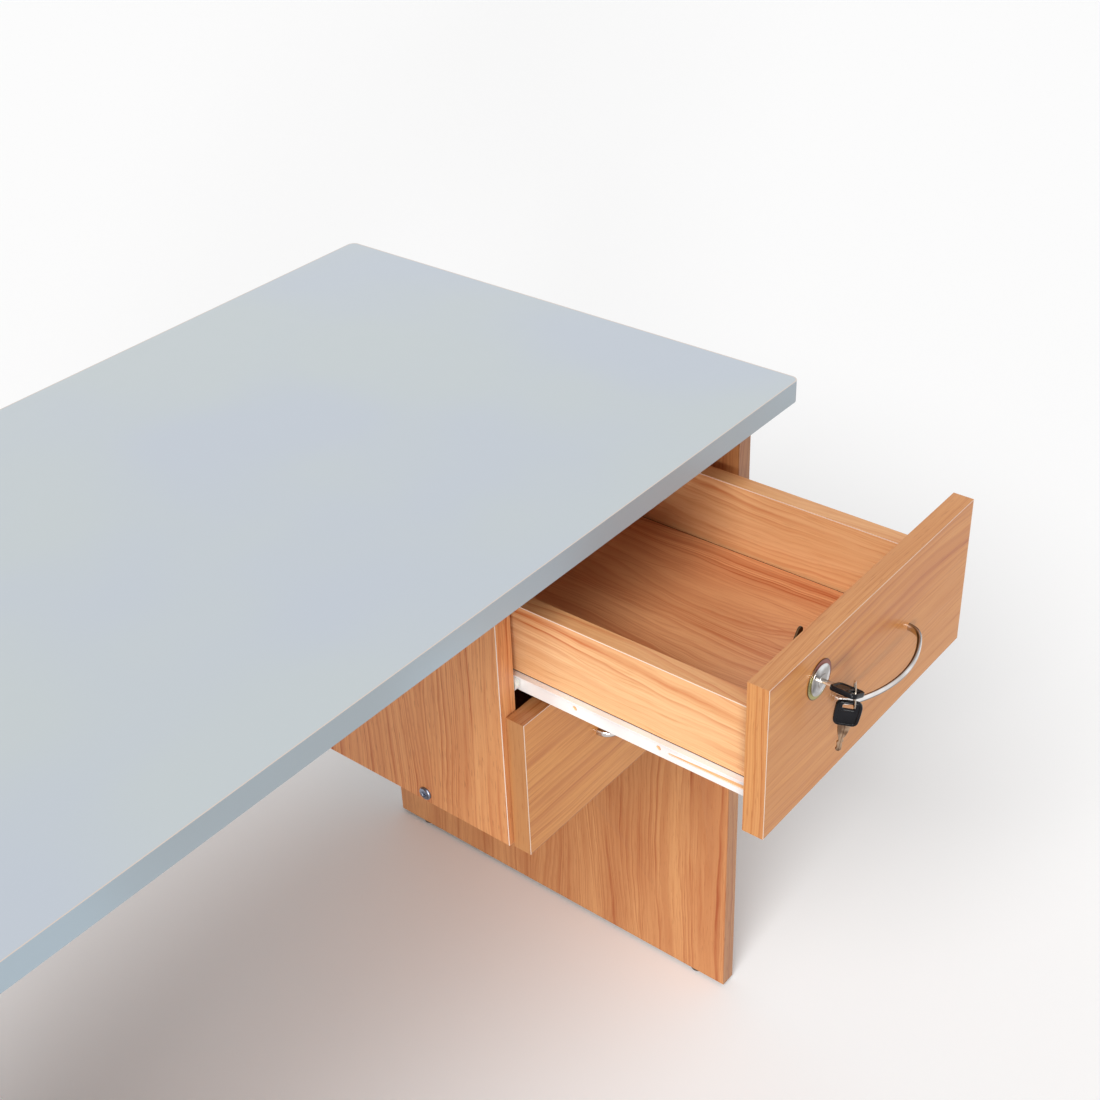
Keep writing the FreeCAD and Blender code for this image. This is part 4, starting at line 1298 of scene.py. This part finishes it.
class TABLE_OT_slides(bpy.types.Operator):
    """Enamels the slides and turns their nylon rollers"""
    bl_idname = "table.slides"
    bl_label = "Slides"

    def execute(self, context):
        enamel = surface_material("slide_enamel")
        rails = [level + "_" + part + "_rail_" + side for level in drawer_levels
                 for part in ("cabinet", "drawer") for side in ("left", "right")]
        dress(rails, enamel, context.scene.fitting_sizes.sheet_rounding)
        nylon = surface_material("roller_nylon")
        for level in drawer_levels:
            for end in ("front", "rear"):
                self.turn_rollers(level + "_" + end + "_rollers", nylon)
        return {"FINISHED"}

    def turn_rollers(self, name, material):
        """Wheels with rounded treads and sunk hubs."""
        bm = bmesh.new()
        for points in islands(name):
            low, high = corners_of(points)
            centre = (low + high) / 2
            radius = (high.z - low.z) / 2
            width = high.x - low.x
            bore = min(math.hypot(p.y - centre.y, p.z - centre.z) for p in points)
            edge, hub = radius * roller_shares["edge"], radius * roller_shares["hub"]
            sink = width * roller_shares["sink"]
            profile = [(bore, 0)]
            profile += [(hub + edge * out, sink * down) for out, down in hub_slope_shares]
            profile += [(radius - edge * back, sink * down) for back, down in tread_slope_shares]
            profile += [(radius - edge * back, edge * down) for back, down in tread_round_shares]
            profile += [(r, width - h) for r, h in reversed(profile)]
            place = along_axis(Vector((low.x, centre.y, centre.z)), X_AXIS)
            turned_profile(bm, place, profile, cut_steps["roller"], closed=True)
        finish_piece(name + "_wheels", bm, material, name, name)


# Cam discs, in shares of their radius and depth
cam_cross_shares = (0.62, 0.17)
cam_slot_shares = ((0.5, 0.3), (1, 0.02))
cam_rim_shares = ((0.8, 0.02), (0.84, 0), (0.96, 0), (1, 0.04), (1, 1))
# Connector bolts: the socket in shares of the head's radius, the profiles in shares of radius and head height
socket_share = 1 / 3
socket_shares = ((0.9, 0.9), (1, 0.12), (1.12, 0))
bolt_head_shares = ((0.62, 0), (0.82, 0.12), (0.95, 0.34), (1, 0.6), (1, 1))


class TABLE_OT_fasteners(bpy.types.Operator):
    """Turns the screws, bolts, cams and dowels that hold the table together"""
    bl_idname = "table.fasteners"
    bl_label = "Fasteners"

    def execute(self, context):
        steel = surface_material("zinc_plated_steel")
        bodies = {"carcass_screws": "table", "cam_screw": "lock_plug"}
        for kind in ("drawer_rail", "box", "handle"):
            for level in drawer_levels:
                bodies[level + "_" + kind + "_screws"] = level + "_drawer"
        for name, body in bodies.items():
            bm = bmesh.new()
            for points in islands(name):
                driven_fastener(bm, *spindle(points), context.scene.fitting_sizes)
            finish_piece(name + "_set", bm, steel, body, name)
        self.turn_cams(surface_material("cast_zinc"))
        self.turn_connectors(surface_material("dark_bolt_steel"))
        dress(["cam_bolts"], steel)
        dress(["panel_dowels", "upper_box_dowels", "lower_box_dowels"], surface_material("dowel_wood"))
        dress(["leg_glides"], surface_material("glide_plastic"))
        return {"FINISHED"}

    def turn_cams(self, material):
        """Cam discs with a cross slot and a rim."""
        bm = bmesh.new()
        for points in islands("cam_discs"):
            start, axis, radius, reach = self.disc_of(points)
            profile = scaled(cam_slot_shares, radius, reach, cross_shape(*cam_cross_shares))
            profile += scaled(cam_rim_shares, radius, reach)
            turned_profile(bm, along_axis(start, axis), profile, cut_steps["cam"])
        finish_piece("cam_disc_set", bm, material, "table", "cam_discs")

    def disc_of(self, points):
        """The open face, axis, radius and depth of a disc let into a board."""
        low, high = corners_of(points)
        size = high - low
        index = min(range(3), key=lambda i: size[i])
        middle = (low + high) / 2
        faces_down = index == 2
        faces_left = middle.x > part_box("right_leg_panel")[0].x
        axis = (X_AXIS, Y_AXIS, Z_AXIS)[index] * (-1 if faces_down or faces_left else 1)
        return middle + axis * size[index] / 2, -axis, max(size) / 2, size[index]

    def turn_connectors(self, material):
        """Domed bolt heads with a hexagon socket."""
        bm = bmesh.new()
        for points in islands("pedestal_connector_bolts"):
            start, axis, head_radius, head_height, shank_radius, reach = spindle(points)
            profile = scaled(socket_shares, head_radius * socket_share, head_height, hexagon_shape)
            profile += scaled(bolt_head_shares, head_radius, head_height)
            profile += [(shank_radius, head_height), (shank_radius, reach)]
            turned_profile(bm, along_axis(start, axis), profile, cut_steps["bolt"])
        finish_piece("connector_bolt_set", bm, material, "table", "pedestal_connector_bolts")


class TABLE_OT_handles(bpy.types.Operator):
    """Bends the two polished bow handles"""
    bl_idname = "table.handles"
    bl_label = "Handles"

    def execute(self, context):
        # The chrome's dark edge colour is a painted dark reflection, laid on by the bar's normal.
        chrome = surface_material("handle_chrome", painted_dark_reflection)
        for level in drawer_levels:
            build_handle(level, chrome, context.scene.fitting_sizes)
        return {"FINISHED"}


# The lock: steps round its cam and down its dome, and the ring's rim and slope in shares of its thickness
cam_outline_steps = 72
dome_steps = 10
dome_lip_share = 0.3
ring_rim_shares = ((0.3, 0), (0.1, 0.12), (0, 0.35), (0.08, 0.62), (0.4, 0.8), (0.9, 0.74))
ring_slope_shares = ((0.5, 0.84), (0.1, 1))


class TABLE_OT_lock(bpy.types.Operator):
    """Turns the lock's ring and dome, cuts its cam, and finishes its plug, nut and strike"""
    bl_idname = "table.lock"
    bl_label = "Lock"

    def execute(self, context):
        sizes = context.scene.fitting_sizes
        chrome = surface_material("lock_chrome")
        # The ring's dark rim is painted shade.
        self.press_ring(surface_material("yellow_zinc_ring", painted_rim_shade, russet_side))
        self.turn_body(chrome, sizes)
        dress(["lock_plug"], chrome, sizes.sheet_rounding)
        dress(["lock_nut", "lock_strike"], surface_material("lock_steel"), sizes.sheet_rounding)
        self.cut_cam(surface_material("lock_bronze"), sizes)
        return {"FINISHED"}

    def cut_cam(self, material, sizes):
        """The flat lever behind the lock, with a round hub, a narrow round tip and a square hole."""
        low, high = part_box("lock_cam")
        body_low, body_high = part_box("lock_body")
        hub = Vector(((body_low.x + body_high.x) / 2, high.y, (body_low.z + body_high.z) / 2))
        place = Matrix.Translation(hub) @ Matrix.Rotation(sizes.lock_turn, 4, "Y")
        corners = [place.inverted() @ v.co for v in nodes["lock_cam"].data.vertices]
        hub_radius = -min(corner.z for corner in corners)
        hole = min(math.hypot(corner.x, corner.z) for corner in corners) / math.sqrt(2)
        tip = max(corner.z for corner in corners) - sizes.cam_tip
        thick = high.y - low.y
        soft = sizes.sheet_rounding
        outer, inner = [], []
        for turn in circle_angles(cam_outline_steps):
            c, s = math.cos(turn), math.sin(turn)
            at_tip = tip * s + sizes.cam_tip > hub_radius
            radius = sizes.cam_tip if at_tip else hub_radius
            outer.append((Vector((c, 0, s)), Z_AXIS * (tip if at_tip else 0), radius))
            inner.append(Vector((c, 0, s)) * (hole / max(abs(c), abs(s))))
        loops = []
        for inset, depth in ((soft, 0), (0, -soft), (0, soft - thick), (soft, -thick)):
            loops.append([place @ (middle + way * (radius - inset) + Y_AXIS * depth)
                          for way, middle, radius in outer])
        loops += [[place @ (spot + Y_AXIS * depth) for spot in inner] for depth in (-thick, 0)]
        bm = bmesh.new()
        skin(bm, loops, closed=True)
        finish_piece("lock_cam_lever", bm, material, "lock_plug", "lock_cam")

    def turn_body(self, material, sizes):
        """The lock's domed face and threaded barrel, bored for the plug."""
        low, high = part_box("lock_body")
        bore = bore_of("lock_body")
        dome_radius = (high.x - low.x) / 2
        barrel, root = sizes.barrel_radius, sizes.barrel_radius - sizes.thread_depth
        edge, pitch = sizes.dome_edge, sizes.thread_pitch
        seat = high.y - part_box("lock_ring")[0].y
        rim = seat + sizes.dome_rim
        cap = (high.y - low.y) - rim
        sink = (dome_radius ** 2 - bore ** 2 - cap ** 2) / (2 * cap)
        sphere = math.hypot(dome_radius, sink)
        profile = [(bore, 0), (root, 0)]
        for turn in range(int(seat / pitch)):
            profile += [(barrel, pitch * (turn + 0.5)), (root, pitch * (turn + 1))]
        profile += [(barrel, seat), (dome_radius - edge, seat), (dome_radius, seat + edge),
                    (dome_radius, rim - edge), (dome_radius - edge * dome_lip_share, rim)]
        for step in range(1, dome_steps + 1):
            radius = dome_radius - (dome_radius - bore) * step / dome_steps
            profile.append((radius, rim - sink + math.sqrt(sphere ** 2 - radius ** 2)))
        self.turn_part("lock_body", "_turned", profile, material, "chrome")

    def press_ring(self, material):
        """A pressed ring with a rolled rim and a dished inner slope."""
        low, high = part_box("lock_ring")
        outer = (high.x - low.x) / 2
        thick = high.y - low.y
        body_low, body_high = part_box("lock_body")
        inner = (body_high.x - body_low.x) / 2
        bore = bore_of("lock_ring")
        profile = [(bore, 0)]
        profile += [(outer - thick * back, thick * up) for back, up in ring_rim_shares]
        profile += [(inner + thick * out, thick * up) for out, up in ring_slope_shares]
        profile.append((bore, thick))
        self.turn_part("lock_ring", "_pressed", profile, material, "yellow_zinc")

    def turn_part(self, name, ending, profile, material, slot_name):
        """A piece turned about the lock's axis, from its node's back towards the front."""
        low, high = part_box(name)
        place = along_axis(Vector(((low.x + high.x) / 2, high.y, (low.z + high.z) / 2)), -Y_AXIS)
        bm = bmesh.new()
        turned_profile(bm, place, profile, cut_steps["lock"], closed=True)
        finish_piece(name + ending, bm, material, "upper_drawer", name)


class TABLE_OT_keys(bpy.types.Operator):
    """Moulds and mills the two keys and finishes their ring"""
    bl_idname = "table.keys"
    bl_label = "Keys"

    def execute(self, context):
        key = context.scene.key_sizes
        plastic, nickel, polished = (surface_material(name)
                                     for name in ("key_plastic", "key_nickel", "ring_nickel"))
        in_lock, reach = self.lock_place(context.scene.fitting_sizes.lock_turn)
        spare = self.hanging_place(key)
        self.make_key("lock_key", "lock_plug", in_lock, reach, False, plastic, polished, key)
        self.make_key("spare_key", "spare_key", spare, key.spare_reach, True, plastic, nickel, key)
        dress(["key_ring"], polished)
        return {"FINISHED"}

    def lock_place(self, lock_turn):
        """Where the key's neck lies in the lock, and how far its blade reaches in."""
        low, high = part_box("lock_key_head")
        neck = Vector(((low.x + high.x) / 2, high.y, (low.z + high.z) / 2))
        lie_down = Matrix.Rotation(math.pi / 2, 4, "X")
        place = Matrix.Translation(neck) @ Matrix.Rotation(lock_turn, 4, "Y") @ lie_down
        return place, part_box("lock_key_blade")[1].y - high.y

    def hanging_place(self, key):
        """Where the spare key's neck hangs from the ring, from the joint about which it swings."""
        joints = frame["record"]["behaviour"]["joints"]
        swing = next(joint for joint in joints if joint["name"] == "spare_key_swing")
        hang, inward = Vector(swing["pos_m"]), Vector(swing["axis"])
        across = inward.cross(Z_AXIS)
        drop = key.wire_radius + key.hang_gap + key.slot_bar - key_head_length()
        tilt = Matrix.Translation(hang) @ Matrix.Rotation(key.spare_tilt, 4, inward)
        upright = Matrix.Translation(Z_AXIS * drop - across * key.spare_offset)
        return tilt @ upright @ Matrix.Rotation(-math.atan2(inward.x, inward.y), 4, "Z")

    def make_key(self, name, body, place, reach, cuts, plastic, metal_of_blade, key):
        """One key: its moulded head and its milled blade."""
        bm = bmesh.new()
        key_head_mesh(bm, place, key)
        finish_piece(name + "_head_moulded", bm, plastic, body, name + "_head")
        bm = bmesh.new()
        key_blade_mesh(bm, place, key, reach, cuts)
        finish_piece(name + "_blade_milled", bm, metal_of_blade, body, name + "_blade")


class TABLE_PT_looks(bpy.types.Panel):
    """Lists the steps that dress the table, and their settings"""
    bl_label = "Study Table"
    bl_space_type = "VIEW_3D"
    bl_region_type = "UI"
    bl_category = "Table"

    def draw(self, context):
        for step in operators:
            self.layout.operator(step.bl_idname)
        for store in stores:
            box = self.layout.box()
            holder = getattr(context.scene, store)
            for field in holder.bl_rna.properties.keys():
                if field not in {"rna_type", "name"}:
                    box.prop(holder, field, text=field.replace("_", " ").capitalize())


operators = (TABLE_OT_studio, TABLE_OT_worktop, TABLE_OT_carcass, TABLE_OT_drawers, TABLE_OT_slides,
             TABLE_OT_fasteners, TABLE_OT_handles, TABLE_OT_lock, TABLE_OT_keys)
stores = {"beech_finish": BeechFinish, "surface_finish": SurfaceFinish, "fitting_sizes": FittingSizes,
          "key_sizes": KeySizes, "studio": Studio}


def register():
    """Registers the property groups, the operators and the panel."""
    for name, store in stores.items():
        bpy.utils.register_class(store)
        setattr(bpy.types.Scene, name, bpy.props.PointerProperty(type=store))
    for item in (*operators, TABLE_PT_looks):
        bpy.utils.register_class(item)


def unregister():
    """Takes the classes out again."""
    for item in (TABLE_PT_looks, *reversed(operators)):
        bpy.utils.unregister_class(item)
    for name, store in stores.items():
        delattr(bpy.types.Scene, name)
        bpy.utils.unregister_class(store)


def main():
    """Dresses the whole table."""
    register()
    bpy.ops.table.studio()
    bpy.ops.table.worktop()
    bpy.ops.table.carcass()
    bpy.ops.table.drawers()
    bpy.ops.table.slides()
    bpy.ops.table.fasteners()
    bpy.ops.table.handles()
    bpy.ops.table.lock()
    bpy.ops.table.keys()
    bpy.context.view_layer.update()


if __name__ == "__main__":
    main()
